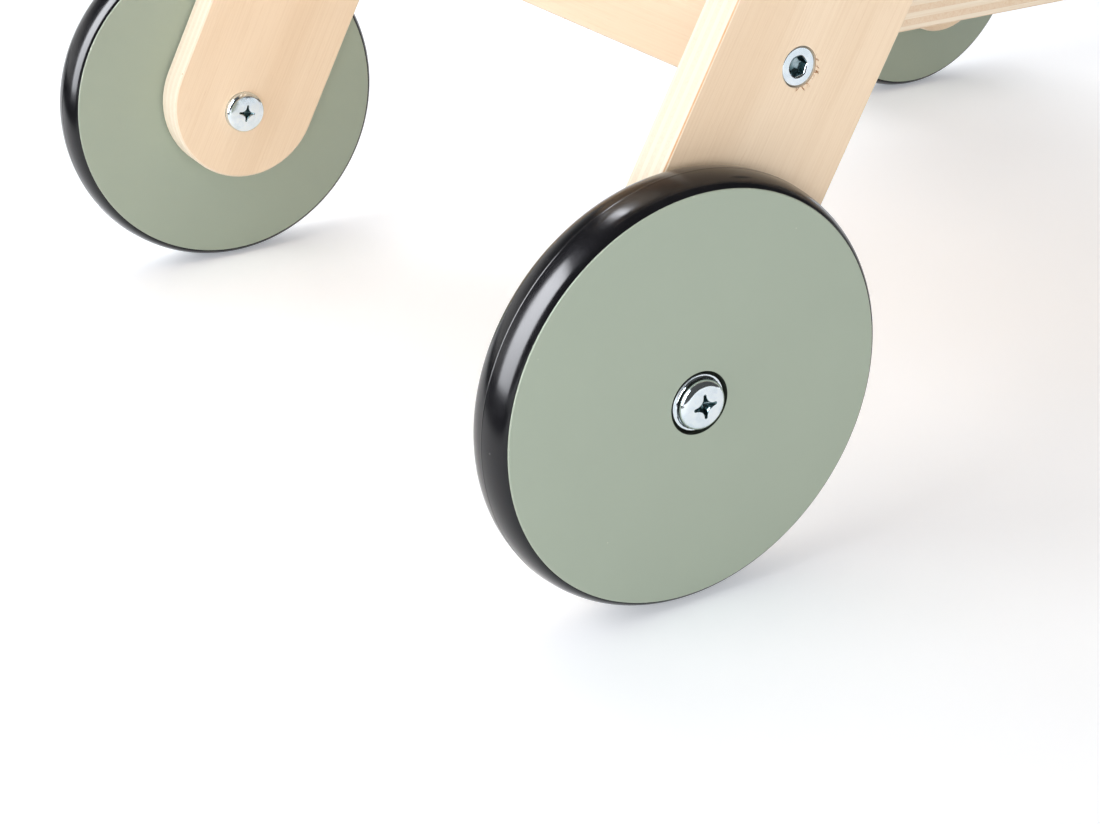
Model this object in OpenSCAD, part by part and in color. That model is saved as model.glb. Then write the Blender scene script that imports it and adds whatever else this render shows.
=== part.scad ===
// Wooden toy cart: crossed plywood legs on four rubber-tyred wheels carry a tub, a shelf and a handle.
// Millimetres. +X is the way the cart is pushed, +Y its left side, +Z up.
// The origin is on the floor under the middle of the cart.

/* [Wheels] */
// Wheel diameter over the tyre
wheel_d = 120; // [100:1:140]
// Thickness of the painted wheel disc
wheel_w = 16; // [14:0.5:22]
// How far the tyre's crown stands out of the disc's rim
tyre_proud = 3; // [2:0.5:5]
// Width of the rim groove that holds the tyre's rib
groove_w = 8; // [6:0.5:10]
// Depth of the rim groove
groove_depth = 4; // [3:0.5:6]
// Diameter of the recess for the axle screw's head
hub_recess_d = 17.5; // [17:0.5:24]
// Depth of that recess
hub_recess_depth = 3; // [2.5:0.25:6]
// Outer diameter of the nylon bush in the disc
bush_d = 13; // [11:0.5:16]

/* [Axles] */
// Diameter of the sleeve that a wheel turns on
sleeve_d = 8; // [7:0.5:9]
// Diameter of the sleeves' pan heads
sleeve_head_d = 14.6; // [12:0.2:16]
// Height of the sleeve's pan head on the inside of a leg
sleeve_head_h = 3; // [2:0.25:4]
// Diameter of the axle screw's thread
axle_screw_d = 5; // [4:0.5:5.5]
// Length of the axle screw's thread
axle_screw_l = 18; // [12:1:22]
// Diameter of the axle screw's flange
axle_flange_d = 16; // [14:0.5:16.5]
// Thickness of the axle screw's flange
axle_flange_t = 1.6; // [1:0.1:2]
// Diameter of the axle screw's domed cap
axle_cap_d = 14; // [11:0.5:14]
// Height of the domed cap over the flange
axle_cap_h = 4; // [2.5:0.1:4.5]
// Length of the arms of the cross recess
cross_l = 7; // [5:0.5:8]
// Width of the arms of the cross recess
cross_w = 1.5; // [1:0.1:2]
// Depth of the cross recess
cross_depth = 2; // [1.5:0.1:2.2]
// Outer diameter of the spacer washer between leg and wheel
washer_d = 20; // [16:0.5:26]
// Thickness of the spacer washer
washer_t = 0.8; // [0.6:0.1:2]

/* [Legs] */
// Distance between the rear and the front axle
wheelbase = 355; // [330:1:400]
// Clear width between the two rear legs
inner_w = 250; // [200:1:300]
// Width of a leg
leg_w = 55; // [45:1:65]
// Plywood thickness of the legs
leg_t = 12; // [10:0.5:15]
// Width of the small chamfer that breaks the edges of the plywood boards
edge_break = 0.6; // [0.3:0.1:2]
// Forward lean of the rear legs from the vertical, in degrees
rear_lean = 27.6; // [20:0.2:32]
// Distance from a rear leg's axle to the centre of its upper round end
rear_leg_l = 330; // [300:1:350]
// How far the centre of a rear leg's lower round end lies above its axle, along the leg
rear_end_up = 3; // [0:0.5:8]
// Backward lean of the handle legs from the vertical, in degrees
handle_lean = 40; // [36:0.2:44]
// How far the centre of a handle leg's lower round end lies below its axle, along the leg
handle_end_down = 4; // [0:0.5:8]
// Height of the handle bar over the floor
handle_height = 545; // [480:1:600]
// Thickness of the wooden spacer where two legs cross
cross_spacer_t = 12; // [8:0.5:16]
// Diameter of that spacer
cross_spacer_d = 28; // [18:1:40]
// Diameter of the handle bar
handle_d = 22; // [18:0.5:28]

/* [Shelf] */
// Distance up a rear leg from its wheel to the crossbar's screw
crossbar_up = 87.4; // [75:0.2:110]
// Thickness of the crossbars
crossbar_t = 12; // [10:0.5:18]
// Height of the crossbars
crossbar_h = 22; // [18:0.5:30]
// Plywood thickness of the shelf, whose top is level with the crossbars
shelf_t = 12; // [9:0.5:15]
// Gap between the shelf and each rear leg
shelf_side_gap = 0.5; // [0.2:0.1:3]
// Diameter of the dowels between shelf and crossbars
dowel_d = 6; // [5:0.5:8]
// Depth of a dowel hole in a crossbar
dowel_in_bar = 8; // [5:0.5:8.5]
// Depth of a dowel hole in the shelf
dowel_in_shelf = 22; // [15:1:40]
// Distance of the outer dowels from the tips of the rear crossbar's screws
dowel_inset = 22; // [15:1:40]

/* [Tub] */
// Height of the tub's sides
tub_h = 150; // [120:1:180]
// Length of the sides along their lower edge
tub_bottom_l = 315; // [280:1:360]
// Length of the sides along their upper edge
tub_top_l = 405; // [370:1:430]
// Thickness of the sides
tub_side_t = 9; // [8:0.5:12]
// Thickness of the front and rear ends
tub_end_t = 9; // [8:0.5:12]
// Thickness of the floor
tub_floor_t = 6; // [4:0.5:9]
// Height of the floor's underside over the tub's lower edge
tub_floor_up = 8; // [6:0.5:14]
// Depth of the grooves in the sides that hold the floor's tongues
tub_groove_depth = 4; // [2:0.5:5]
// How far the floor's top stands above its tongues
tub_rebate = 2; // [1:0.5:3]
// Radius of the sides' corners
tub_corner_r = 24; // [12:1:40]
// How far the sides stand out past the ends
tub_overhang = 12; // [8:1:20]
// How far the ends stay below the sides' upper edge
tub_end_drop = 10; // [4:1:30]
// Height of the lower tub bolt over the tub's lower edge
tub_bolt_up = 32; // [28:1:40]
// Depth of the upper tub bolt below the sides' upper edge
tub_bolt_down = 24; // [18:1:40]
// Diameter of the wooden spacers between tub and handle legs
tub_spacer_d = 28; // [18:1:40]
// Clear distance between those spacers and the rear legs
tub_spacer_gap = 13.2; // [6:0.2:20]
// Distance of the outer wood screws from the upper and lower edges of the ends
tub_screw_inset = 22; // [15:1:40]
// Head diameter of the wood screws
tub_screw_head_d = 7.6; // [6:0.2:9]
// Shank diameter of the wood screws
tub_screw_d = 3.5; // [3:0.1:4]
// Length of the wood screws
tub_screw_l = 32; // [25:1:45]
// Length of the arms of the wood screws' cross recess
tub_cross_l = 3.6; // [2.5:0.1:5]
// Width of those arms
tub_cross_w = 0.8; // [0.5:0.1:1.2]
// Depth of that cross recess
tub_cross_depth = 1; // [0.6:0.1:1.2]

/* [Bolts and screws] */
// Head diameter of the hex-socket screws and bolts
bolt_head_d = 10.4; // [10:0.2:14]
// Height of those heads
bolt_head_h = 3.5; // [3:0.25:5]
// Chamfer round the top of those heads
bolt_edge = 0.7; // [0.3:0.1:1]
// How deep those heads sit below the leg's face
bolt_sink = 0.5; // [0.3:0.1:2]
// Width across the flats of the hex socket
socket_af = 5; // [3:0.5:6]
// Depth of the hex socket
socket_depth = 2.2; // [1.5:0.1:2.8]
// Shank diameter of the hex-socket screws and bolts
bolt_d = 6; // [5:0.5:7]
// How far the hex-socket screws reach into a crossbar or the handle bar
screw_reach = 38; // [25:1:60]
// Outer diameter of the sleeve nuts in the tub
nut_d = 8; // [7.5:0.25:9]
// Head diameter of the sleeve nuts
nut_head_d = 14; // [11:0.5:18]
// Head height of the sleeve nuts
nut_head_h = 2; // [1.5:0.25:4]

/* [Clearances] */
// Radial gap of a wheel's bush round its sleeve
running_gap = 0.06; // [0.02:0.01:0.1]
// Radial gap of a screw, dowel, bush or nut that sits tight in its hole
fit_gap = 0.05; // [0.02:0.01:0.1]
// Radial gap of a shank that passes through a leg
shank_gap = 0.2; // [0.1:0.05:0.5]
// Radial gap round a head in its recess
head_gap = 0.25; // [0.2:0.05:0.8]
// Free play of a wheel along its axle, on each side
wheel_play = 0.2; // [0.1:0.05:0.5]
// Gap at the end of a blind hole
end_gap = 0.5; // [0.2:0.1:2]

/* [Hidden] */
$fn = 96;
// Facets round a full turn at the tub's corners
corner_fn = 64;
// Facets round the full circle that the tyre's section is a short arc of
crown_fn = 384;
// How far a cutting shape reaches past the face it cuts
cut = 1;

wheel_r = wheel_d / 2;
disc_r = wheel_r - tyre_proud;
wheel_gap = washer_t + wheel_play;
leg_step = leg_t + cross_spacer_t;
rear_leg_y = inner_w / 2;
handle_leg_y = rear_leg_y + leg_step;

// Points below are measured forward from the rear axle, and shift() moves them to the origin.
function rear_line_x(z) = (z - wheel_r) * tan(rear_lean);
function handle_line_x(z) = wheelbase - (z - wheel_r) * tan(handle_lean);
handle_x = handle_line_x(handle_height);
handle_leg_l = (handle_height - wheel_r) / cos(handle_lean);

crossbar_z = wheel_r + crossbar_up * cos(rear_lean);
rear_bar_x = rear_line_x(crossbar_z);
front_bar_x = handle_line_x(crossbar_z);
front_bar_up = (crossbar_z - wheel_r) / cos(handle_lean);
rear_bar_l = inner_w;
front_bar_l = 2 * handle_leg_y;
bar_top = crossbar_z + crossbar_h / 2;
shelf_x0 = rear_bar_x + crossbar_t / 2;
shelf_x1 = front_bar_x - crossbar_t / 2;
dowel_z = bar_top - shelf_t / 2;
dowel_l = dowel_in_bar + dowel_in_shelf - 2 * end_gap;
dowel_pitch = inner_w / 2 - screw_reach - dowel_inset;

crossing_z = wheel_r + wheelbase / (tan(rear_lean) + tan(handle_lean));
crossing_x = rear_line_x(crossing_z);
tub_mid_x = wheelbase / 2;
// The upper tub bolts go through the handle legs, past the rear legs, and the tub hangs from them.
high_bolt_up = (leg_w / 2 + tub_spacer_gap + tub_spacer_d / 2) / sin(rear_lean + handle_lean);
high_bolt_z = crossing_z + high_bolt_up * cos(handle_lean);
tub_top_z = high_bolt_z + tub_bolt_down;
tub_z = tub_top_z - tub_h;
tub_slope = (tub_top_l - tub_bottom_l) / 2 / tub_h;
// Half the length of the sides at a height, and of the ends' outer and inner faces
function side_half(z) = tub_bottom_l / 2 + (z - tub_z) * tub_slope;
function end_outer(z) = side_half(z) - tub_overhang;
end_run = tub_end_t * sqrt(1 + tub_slope * tub_slope);
function end_inner(z) = end_outer(z) - end_run;
function end_mid(z) = end_outer(z) - end_run / 2;
end_w = inner_w - 2 * tub_side_t;
end_z0 = tub_z + tub_floor_up;
end_z1 = tub_top_z - tub_end_drop;
floor_z1 = end_z0 + tub_floor_t;
tongue_z1 = floor_z1 - tub_rebate;
low_bolt_z = tub_z + tub_bolt_up;
tub_screw_head_h = (tub_screw_head_d - tub_screw_d) / 2;
tub_screw_zs = [end_z0 + tub_screw_inset, (end_z0 + end_z1) / 2, end_z1 - tub_screw_inset];

rear_reach = min(-wheel_r, handle_x - leg_w / 2, tub_mid_x - tub_top_l / 2);
front_reach = max(wheelbase + wheel_r, tub_mid_x + tub_top_l / 2);
mid_x = (rear_reach + front_reach) / 2;

head_recess_d = bolt_head_d + 2 * head_gap;
head_recess_depth = bolt_head_h + bolt_sink;
shank_hole_d = bolt_d + 2 * shank_gap;
tight_hole_d = bolt_d + 2 * fit_gap;
screw_l = leg_t - head_recess_depth + screw_reach;
short_bolt_l = leg_t - head_recess_depth + tub_side_t;
long_bolt_l = short_bolt_l + leg_step;
nut_hole_d = nut_d + 2 * fit_gap;
sleeve_l = leg_t + wheel_gap + wheel_w - hub_recess_depth + wheel_play;
rib_w = groove_w - 2 * fit_gap;

ply = "#ecd3b7";
ply_end = "#f4e2c6";
sage = "#a4af9f";
black = "#232323";
zinc = "#d2d8d8";
nylon = "#e8e6df";

SIDES = ["left", "right"];
AXLES = ["rear", "front"];
WHEEL_PIECES = ["wheel_disc", "tyre", "hub_bush", "axle_sleeve", "axle_screw", "spacer_washer"];
FRAME_NODES = [
    "rear_left_leg", "rear_right_leg", "handle_left_leg", "handle_right_leg",
    "rear_crossbar", "front_crossbar", "shelf_board", "shelf_dowels",
    "tub_left_side", "tub_right_side", "tub_front_end", "tub_rear_end", "tub_floor",
    "tub_screws", "tub_short_bolts", "tub_long_bolts", "tub_sleeve_nuts", "tub_spacers",
    "crossing_spacers", "rear_crossbar_screws", "front_crossbar_screws",
    "handle_bar", "handle_bar_screws"
];

// Placing

module shift() {
    translate([-mid_x, 0, 0]) children();
}

// What is drawn for the left side stays there, or is mirrored to the right
module on_side(s) {
    mirror([0, s == "right" ? 1 : 0, 0]) children();
}

module both_sides() {
    for (s = SIDES) on_side(s) children();
}

// Turns a shape that stands along +Z so that it points out of the left side
module outward() {
    rotate([-90, 0, 0]) children();
}

// At a point in the side view, with the local +Z axis pointing out at the distance y
module at_side(x, y, z) {
    translate([x, y, z]) outward() children();
}

// Three copies in a row across the cart
module dowel_row() {
    for (i = [-1:1]) translate([0, i * dowel_pitch, 0]) children();
}

// Shapes that repeat

// A rectangle whose corners are cut off by the boards' chamfer
module board_section(w, h) {
    x = w / 2;
    y = h / 2;
    c = edge_break;
    polygon([
        [c - x, -y], [x - c, -y], [x, c - y], [x, y - c],
        [x - c, y], [c - x, y], [-x, y - c], [-x, c - y]
    ]);
}

// The half of board_section() on the positive side of its upright axis, of the width r
module board_rim(r, h) {
    y = h / 2;
    c = edge_break;
    polygon([[0, -y], [r - c, -y], [r, c - y], [r, y - c], [r - c, y], [0, y]]);
}

// One round end of a leg, standing out along +X from the centre of its curve
module leg_end() {
    rotate([0, 0, -90]) rotate_extrude(angle = 180) board_rim(leg_w / 2, leg_t);
}

// A leg that lies along +X, with the centres of its round ends at l0 and l1, between z = 0 and its thickness
module leg_blank(l0, l1) {
    translate([l0, 0, leg_t / 2]) {
        rotate([90, 0, 90]) linear_extrude(l1 - l0) board_section(leg_w, leg_t);
        translate([l1 - l0, 0, 0]) leg_end();
        mirror([1, 0, 0]) leg_end();
    }
}

// Holes through a leg at the distance l from its axle
module leg_hole(l, d) {
    translate([l, 0, -cut]) cylinder(d = d, h = leg_t + 2 * cut);
}

module head_recess(l) {
    translate([l, 0, leg_t - head_recess_depth]) cylinder(d = head_recess_d, h = head_recess_depth + cut);
}

module screw_hole(l) {
    leg_hole(l, shank_hole_d);
    head_recess(l);
}

// Stands a leg up on the left side: lean is positive forward
module stand_leg(axle_x, y, lean) {
    translate([axle_x, y, wheel_r]) rotate([0, lean, 0]) rotate([0, -90, 0]) rotate([-90, 0, 0]) children();
}

// A low dome of the diameter d and the height h on the plane z = 0
module dome(d, h) {
    r = (d * d / 4 + h * h) / (2 * h);
    intersection() {
        translate([0, 0, h - r]) sphere(r);
        cylinder(d = d, h = h + cut);
    }
}

// A cross recess with arms of the length l and the width w, cut downwards from z = 0
module cross_recess(l, w, depth) {
    for (a = [0, 90]) rotate([0, 0, a]) translate([-l / 2, -w / 2, -depth]) cube([l, w, depth + cut]);
}

module axle_recess() {
    cross_recess(cross_l, cross_w, cross_depth);
}

// A hex-socket screw with the underside of its head at z = 0 and its shank of the length l below
module hex_screw(l) {
    r = bolt_head_d / 2;
    difference() {
        rotate_extrude() polygon([
            [0, -l], [bolt_d / 2, -l], [bolt_d / 2, 0], [r, 0],
            [r, bolt_head_h - bolt_edge], [r - bolt_edge, bolt_head_h], [0, bolt_head_h]
        ]);
        translate([0, 0, bolt_head_h - socket_depth])
            cylinder(d = socket_af / cos(30), h = socket_depth + cut, $fn = 6);
    }
}

// A blind hole along the axis, from z = 0 downwards
module blind_hole(d, depth) {
    translate([0, 0, -depth]) cylinder(d = d, h = depth + cut);
}

// Wheel pieces, drawn on the left side with the leg's outer face at z = 0 and the wheel further out

module wheel_disc() {
    color(sage) translate([0, 0, wheel_gap]) difference() {
        cylinder(r = disc_r, h = wheel_w);
        translate([0, 0, -cut]) cylinder(d = bush_d + 2 * fit_gap, h = wheel_w + 2 * cut);
        translate([0, 0, wheel_w - hub_recess_depth]) cylinder(d = hub_recess_d, h = hub_recess_depth + cut);
        translate([0, 0, (wheel_w - groove_w) / 2]) difference() {
            cylinder(r = wheel_r, h = groove_w);
            translate([0, 0, -cut]) cylinder(r = disc_r - groove_depth, h = groove_w + 2 * cut);
        }
    }
}

// The tyre's section: an arc over the whole width, and a rib that fills the rim groove
module tyre_section() {
    half = wheel_w / 2;
    arc_r = (half * half + tyre_proud * tyre_proud) / (2 * tyre_proud);
    intersection() {
        translate([wheel_r - arc_r, 0]) circle(arc_r, $fn = crown_fn);
        translate([disc_r + fit_gap, -half]) square([tyre_proud + cut, wheel_w]);
    }
    translate([disc_r - groove_depth + fit_gap, -rib_w / 2]) square([groove_depth + tyre_proud / 2, rib_w]);
}

module tyre() {
    color(black) translate([0, 0, wheel_gap + wheel_w / 2]) rotate_extrude() tyre_section();
}

module hub_bush() {
    l = wheel_w - hub_recess_depth;
    color(nylon) translate([0, 0, wheel_gap]) difference() {
        cylinder(d = bush_d, h = l);
        translate([0, 0, -cut]) cylinder(d = sleeve_d + 2 * running_gap, h = l + 2 * cut);
    }
}

module axle_sleeve() {
    color(zinc) translate([0, 0, -leg_t]) difference() {
        union() {
            cylinder(d = sleeve_d, h = sleeve_l);
            mirror([0, 0, 1]) dome(sleeve_head_d, sleeve_head_h);
        }
        translate([0, 0, sleeve_l]) blind_hole(axle_screw_d + 2 * fit_gap, axle_screw_l + end_gap);
        translate([0, 0, -sleeve_head_h]) mirror([0, 0, 1]) axle_recess();
    }
}

module axle_screw() {
    color(zinc) translate([0, 0, sleeve_l - leg_t]) difference() {
        union() {
            translate([0, 0, -axle_screw_l]) cylinder(d = axle_screw_d, h = axle_screw_l);
            cylinder(d = axle_flange_d, h = axle_flange_t);
            translate([0, 0, axle_flange_t]) dome(axle_cap_d, axle_cap_h);
        }
        translate([0, 0, axle_flange_t + axle_cap_h]) axle_recess();
    }
}

module spacer_washer() {
    color(zinc) difference() {
        cylinder(d = washer_d, h = washer_t);
        translate([0, 0, -cut]) cylinder(d = sleeve_d + 2 * shank_gap, h = washer_t + 2 * cut);
    }
}

module at_wheel(a, s) {
    x = a == "rear" ? 0 : wheelbase;
    y = (a == "rear" ? rear_leg_y : handle_leg_y) + leg_t;
    shift() on_side(s) at_side(x, y, wheel_r) children();
}

// Legs

module rear_leg() {
    color(ply) shift() stand_leg(0, rear_leg_y, rear_lean) difference() {
        leg_blank(rear_end_up, rear_leg_l);
        leg_hole(0, sleeve_d + 2 * shank_gap);
        screw_hole(crossbar_up);
        screw_hole((low_bolt_z - wheel_r) / cos(rear_lean));
        leg_hole((crossing_z - wheel_r) / cos(rear_lean), shank_hole_d);
    }
}

module handle_leg() {
    color(ply) shift() stand_leg(wheelbase, handle_leg_y, -handle_lean) difference() {
        leg_blank(-handle_end_down, handle_leg_l);
        leg_hole(0, sleeve_d + 2 * shank_gap);
        screw_hole(front_bar_up);
        screw_hole((crossing_z - wheel_r) / cos(handle_lean));
        screw_hole((high_bolt_z - wheel_r) / cos(handle_lean));
        screw_hole(handle_leg_l);
    }
}

// Crossbars and shelf

// A crossbar of the length l, with its end holes, and dowel holes in the face towards the shelf
module crossbar(x, l, shelf_side) {
    color(ply) shift() translate([x, 0, crossbar_z]) difference() {
        rotate([90, 0, 0]) linear_extrude(l, center = true) board_section(crossbar_t, crossbar_h);
        both_sides() at_side(0, l / 2, 0) blind_hole(tight_hole_d, screw_reach + end_gap);
        translate([shelf_side * crossbar_t / 2, 0, dowel_z - crossbar_z]) dowel_row()
            rotate([0, 90 * shelf_side, 0]) blind_hole(dowel_d + 2 * fit_gap, dowel_in_bar);
    }
}

module shelf_board() {
    w = inner_w - 2 * shelf_side_gap;
    color(ply) shift() difference() {
        translate([shelf_x0, 0, dowel_z]) rotate([90, 0, 90])
            linear_extrude(shelf_x1 - shelf_x0) board_section(w, shelf_t);
        translate([shelf_x0, 0, dowel_z]) dowel_row() rotate([0, -90, 0])
            blind_hole(dowel_d + 2 * fit_gap, dowel_in_shelf);
        translate([shelf_x1, 0, dowel_z]) dowel_row() rotate([0, 90, 0])
            blind_hole(dowel_d + 2 * fit_gap, dowel_in_shelf);
    }
}

module shelf_dowels() {
    color(ply_end) shift() {
        translate([shelf_x0 - dowel_in_bar + end_gap, 0, dowel_z]) dowel_row()
            rotate([0, 90, 0]) cylinder(d = dowel_d, h = dowel_l);
        translate([shelf_x1 + dowel_in_bar - end_gap, 0, dowel_z]) dowel_row()
            rotate([0, -90, 0]) cylinder(d = dowel_d, h = dowel_l);
    }
}

// Hex-socket screws through both legs into the ends of a bar at x, z
module bar_screws(x, leg_y, z) {
    color(zinc) shift() both_sides() at_side(x, leg_y + leg_t - head_recess_depth, z) hex_screw(screw_l);
}

// Handle

module handle_bar() {
    color(ply_end) shift() translate([handle_x, 0, handle_height]) difference() {
        rotate([90, 0, 0]) cylinder(d = handle_d, h = 2 * handle_leg_y, center = true);
        both_sides() at_side(0, handle_leg_y, 0) blind_hole(tight_hole_d, screw_reach + end_gap);
    }
}

// Tub, with its outline in the side view

module in_side_view(w) {
    translate([tub_mid_x, w / 2, 0]) rotate([90, 0, 0]) linear_extrude(w) children();
}

// The centres of the sides' round corners, in a box that widens upwards
function side_corners() =
    let (
        slant = atan(tub_slope),
        z0 = tub_z + tub_corner_r,
        z1 = tub_top_z - tub_corner_r,
        inset = tub_corner_r / cos(slant),
        x0 = side_half(z0) - inset,
        x1 = side_half(z1) - inset
    )
    [[-x0, z0], [x0, z0], [x1, z1], [-x1, z1]];

// A side's board, lying on the plane z = 0 at the middle of its thickness, with chamfered edges
module side_blank() {
    hull() for (p = side_corners()) translate(p) {
        cylinder(r = tub_corner_r, h = tub_side_t - 2 * edge_break, center = true, $fn = corner_fn);
        cylinder(r = tub_corner_r - edge_break, h = tub_side_t, center = true, $fn = corner_fn);
    }
}

module tub_bolt_points() {
    translate([rear_line_x(low_bolt_z), rear_leg_y, low_bolt_z]) outward() children();
    translate([crossing_x, rear_leg_y, crossing_z]) outward() children();
    translate([handle_line_x(high_bolt_z), rear_leg_y, high_bolt_z]) outward() children();
}

// Where the wood screws of one side go into the front and rear ends, with +Z out of the side
module tub_screw_points() {
    for (m = [-1, 1], z = tub_screw_zs)
        at_side(tub_mid_x + m * end_mid(z), rear_leg_y, z) children();
}

// A countersunk wood screw with the top of its head at z = 0
module wood_screw() {
    r = tub_screw_d / 2;
    difference() {
        rotate_extrude() polygon([
            [0, -tub_screw_l], [r, tub_screw_d - tub_screw_l], [r, -tub_screw_head_h],
            [tub_screw_head_d / 2, 0], [0, 0]
        ]);
        cross_recess(tub_cross_l, tub_cross_w, tub_cross_depth);
    }
}

// The hole of a wood screw, with its countersink
module wood_screw_hole() {
    r = tub_screw_d / 2 + fit_gap;
    head_r = tub_screw_head_d / 2 + fit_gap;
    bottom = -tub_screw_l - end_gap;
    rotate_extrude() polygon([
        [0, bottom], [r, bottom], [r, -tub_screw_head_h - fit_gap],
        [head_r, -fit_gap], [head_r, cut], [0, cut]
    ]);
}

module tub_side() {
    groove_l = end_inner(tongue_z1) + fit_gap;
    groove_h = tongue_z1 - end_z0 + 2 * fit_gap;
    color(ply) shift() difference() {
        translate([tub_mid_x, rear_leg_y - tub_side_t / 2, 0]) rotate([90, 0, 0]) side_blank();
        translate([tub_mid_x - groove_l, rear_leg_y - tub_side_t - cut, end_z0 - fit_gap])
            cube([2 * groove_l, tub_groove_depth + cut, groove_h]);
        tub_bolt_points() translate([0, 0, -tub_side_t - cut])
            cylinder(d = nut_hole_d, h = tub_side_t + 2 * cut);
        tub_screw_points() wood_screw_hole();
    }
}

// An end panel on the side m, where 1 is the front and -1 the rear, with a half-round upper edge
module tub_end(m) {
    slant = atan(tub_slope);
    top = [end_mid(end_z1 - tub_end_t / 2), end_z1 - tub_end_t / 2];
    across = [cos(slant), -sin(slant)] * tub_end_t / 2;
    outline = [[end_outer(end_z0), end_z0], top + across, top - across, [end_inner(end_z0), end_z0]];
    color(ply) shift() difference() {
        in_side_view(end_w) mirror([m < 0 ? 1 : 0, 0]) {
            polygon(outline);
            translate(top) circle(d = tub_end_t);
        }
        both_sides() tub_screw_points() wood_screw_hole();
    }
}

// The floor's outline between the ends, from its underside up to z1
module floor_outline(z1) {
    low = end_inner(end_z0) - fit_gap;
    high = end_inner(z1) - fit_gap;
    polygon([[-low, end_z0], [low, end_z0], [high, z1], [-high, z1]]);
}

// A board between the sides, with a tongue along its lower edge that goes into their grooves
module tub_floor() {
    color(ply) shift() {
        in_side_view(end_w - 2 * fit_gap) floor_outline(floor_z1);
        in_side_view(end_w + 2 * (tub_groove_depth - fit_gap)) floor_outline(tongue_z1);
    }
}

module tub_screws() {
    color(zinc) shift() both_sides() tub_screw_points() wood_screw();
}

module tub_short_bolts() {
    color(zinc) shift() both_sides()
        at_side(rear_line_x(low_bolt_z), rear_leg_y + leg_t - head_recess_depth, low_bolt_z)
            hex_screw(short_bolt_l);
}

module tub_long_bolts() {
    y = handle_leg_y + leg_t - head_recess_depth;
    color(zinc) shift() both_sides() {
        at_side(crossing_x, y, crossing_z) hex_screw(long_bolt_l);
        at_side(handle_line_x(high_bolt_z), y, high_bolt_z) hex_screw(long_bolt_l);
    }
}

// Sleeve nuts: the barrel sits in the tub's side, with a domed head on the inside
module tub_sleeve_nuts() {
    color(zinc) shift() both_sides() tub_bolt_points() translate([0, 0, -tub_side_t]) difference() {
        union() {
            cylinder(d = nut_d, h = tub_side_t - end_gap);
            mirror([0, 0, 1]) dome(nut_head_d, nut_head_h);
        }
        cylinder(d = tight_hole_d, h = tub_side_t);
    }
}

module tub_spacers() {
    color(ply_end) shift() both_sides() at_side(handle_line_x(high_bolt_z), rear_leg_y, high_bolt_z)
        difference() {
            cylinder(d = tub_spacer_d, h = leg_step);
            translate([0, 0, -cut]) cylinder(d = shank_hole_d, h = leg_step + 2 * cut);
        }
}

module crossing_spacers() {
    color(ply_end) shift() both_sides() at_side(crossing_x, rear_leg_y + leg_t, crossing_z) difference() {
        cylinder(d = cross_spacer_d, h = cross_spacer_t);
        translate([0, 0, -cut]) cylinder(d = shank_hole_d, h = cross_spacer_t + 2 * cut);
    }
}

on_side("left") rear_leg();  // rear_left_leg
on_side("right") rear_leg();  // rear_right_leg
on_side("left") handle_leg();  // handle_left_leg
on_side("right") handle_leg();  // handle_right_leg
crossbar(rear_bar_x, rear_bar_l, 1);  // rear_crossbar
crossbar(front_bar_x, front_bar_l, -1);  // front_crossbar
shelf_board();
shelf_dowels();
on_side("left") tub_side();  // tub_left_side
on_side("right") tub_side();  // tub_right_side
tub_end(1);  // tub_front_end
tub_end(-1);  // tub_rear_end
tub_floor();
tub_screws();
tub_short_bolts();
tub_long_bolts();
tub_sleeve_nuts();
tub_spacers();
crossing_spacers();
bar_screws(rear_bar_x, rear_leg_y, crossbar_z);  // rear_crossbar_screws
bar_screws(front_bar_x, handle_leg_y, crossbar_z);  // front_crossbar_screws
handle_bar();
bar_screws(handle_x, handle_leg_y, handle_height);  // handle_bar_screws
for (a = AXLES, s = SIDES) {
    corner = str(a, "_", s, "_");
    at_wheel(a, s) wheel_disc();
    at_wheel(a, s) tyre();
    at_wheel(a, s) hub_bush();
    at_wheel(a, s) axle_sleeve();
    at_wheel(a, s) axle_screw();
    at_wheel(a, s) spacer_washer();
}
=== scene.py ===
import math
import random

import bmesh
import bpy
from bpy.props import FloatProperty, FloatVectorProperty, PointerProperty
from mathutils import Matrix, Vector


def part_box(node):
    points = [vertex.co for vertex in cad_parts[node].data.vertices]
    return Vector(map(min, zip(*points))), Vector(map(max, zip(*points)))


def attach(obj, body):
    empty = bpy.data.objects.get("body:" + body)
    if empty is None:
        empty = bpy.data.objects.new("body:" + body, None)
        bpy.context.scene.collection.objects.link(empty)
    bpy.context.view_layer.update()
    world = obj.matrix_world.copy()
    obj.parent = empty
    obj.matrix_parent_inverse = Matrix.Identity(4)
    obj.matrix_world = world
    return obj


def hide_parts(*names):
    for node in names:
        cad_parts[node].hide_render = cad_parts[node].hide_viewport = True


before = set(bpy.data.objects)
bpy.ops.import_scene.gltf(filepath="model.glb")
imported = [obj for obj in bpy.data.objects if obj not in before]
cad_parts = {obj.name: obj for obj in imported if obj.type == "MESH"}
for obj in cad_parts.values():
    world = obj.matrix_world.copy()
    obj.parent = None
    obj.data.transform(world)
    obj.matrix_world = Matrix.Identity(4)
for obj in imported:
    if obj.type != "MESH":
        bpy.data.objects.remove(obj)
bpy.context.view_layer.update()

bl_info = {
    "name": "Toy cart looks",
    "version": (1, 0, 0),
    "blender": (4, 5, 0),
    "location": "3D View > Sidebar > Toy cart",
    "description": "Gives a toy cart its plywood, painted wheels, rubber tyres, zinc screws and studio",
    "category": "Object",
}

MM = 0.001
ROUND = 2 * math.pi
ALONG = (1, 0, 0)
ACROSS = (0, 1, 0)
SIDES = {"left": 1, "right": -1}
CORNERS = [f"{axle}_{side}" for axle in ("rear", "front") for side in SIDES]
LEGS = [f"{kind}_{side}_leg" for kind in ("rear", "handle") for side in SIDES]
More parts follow.
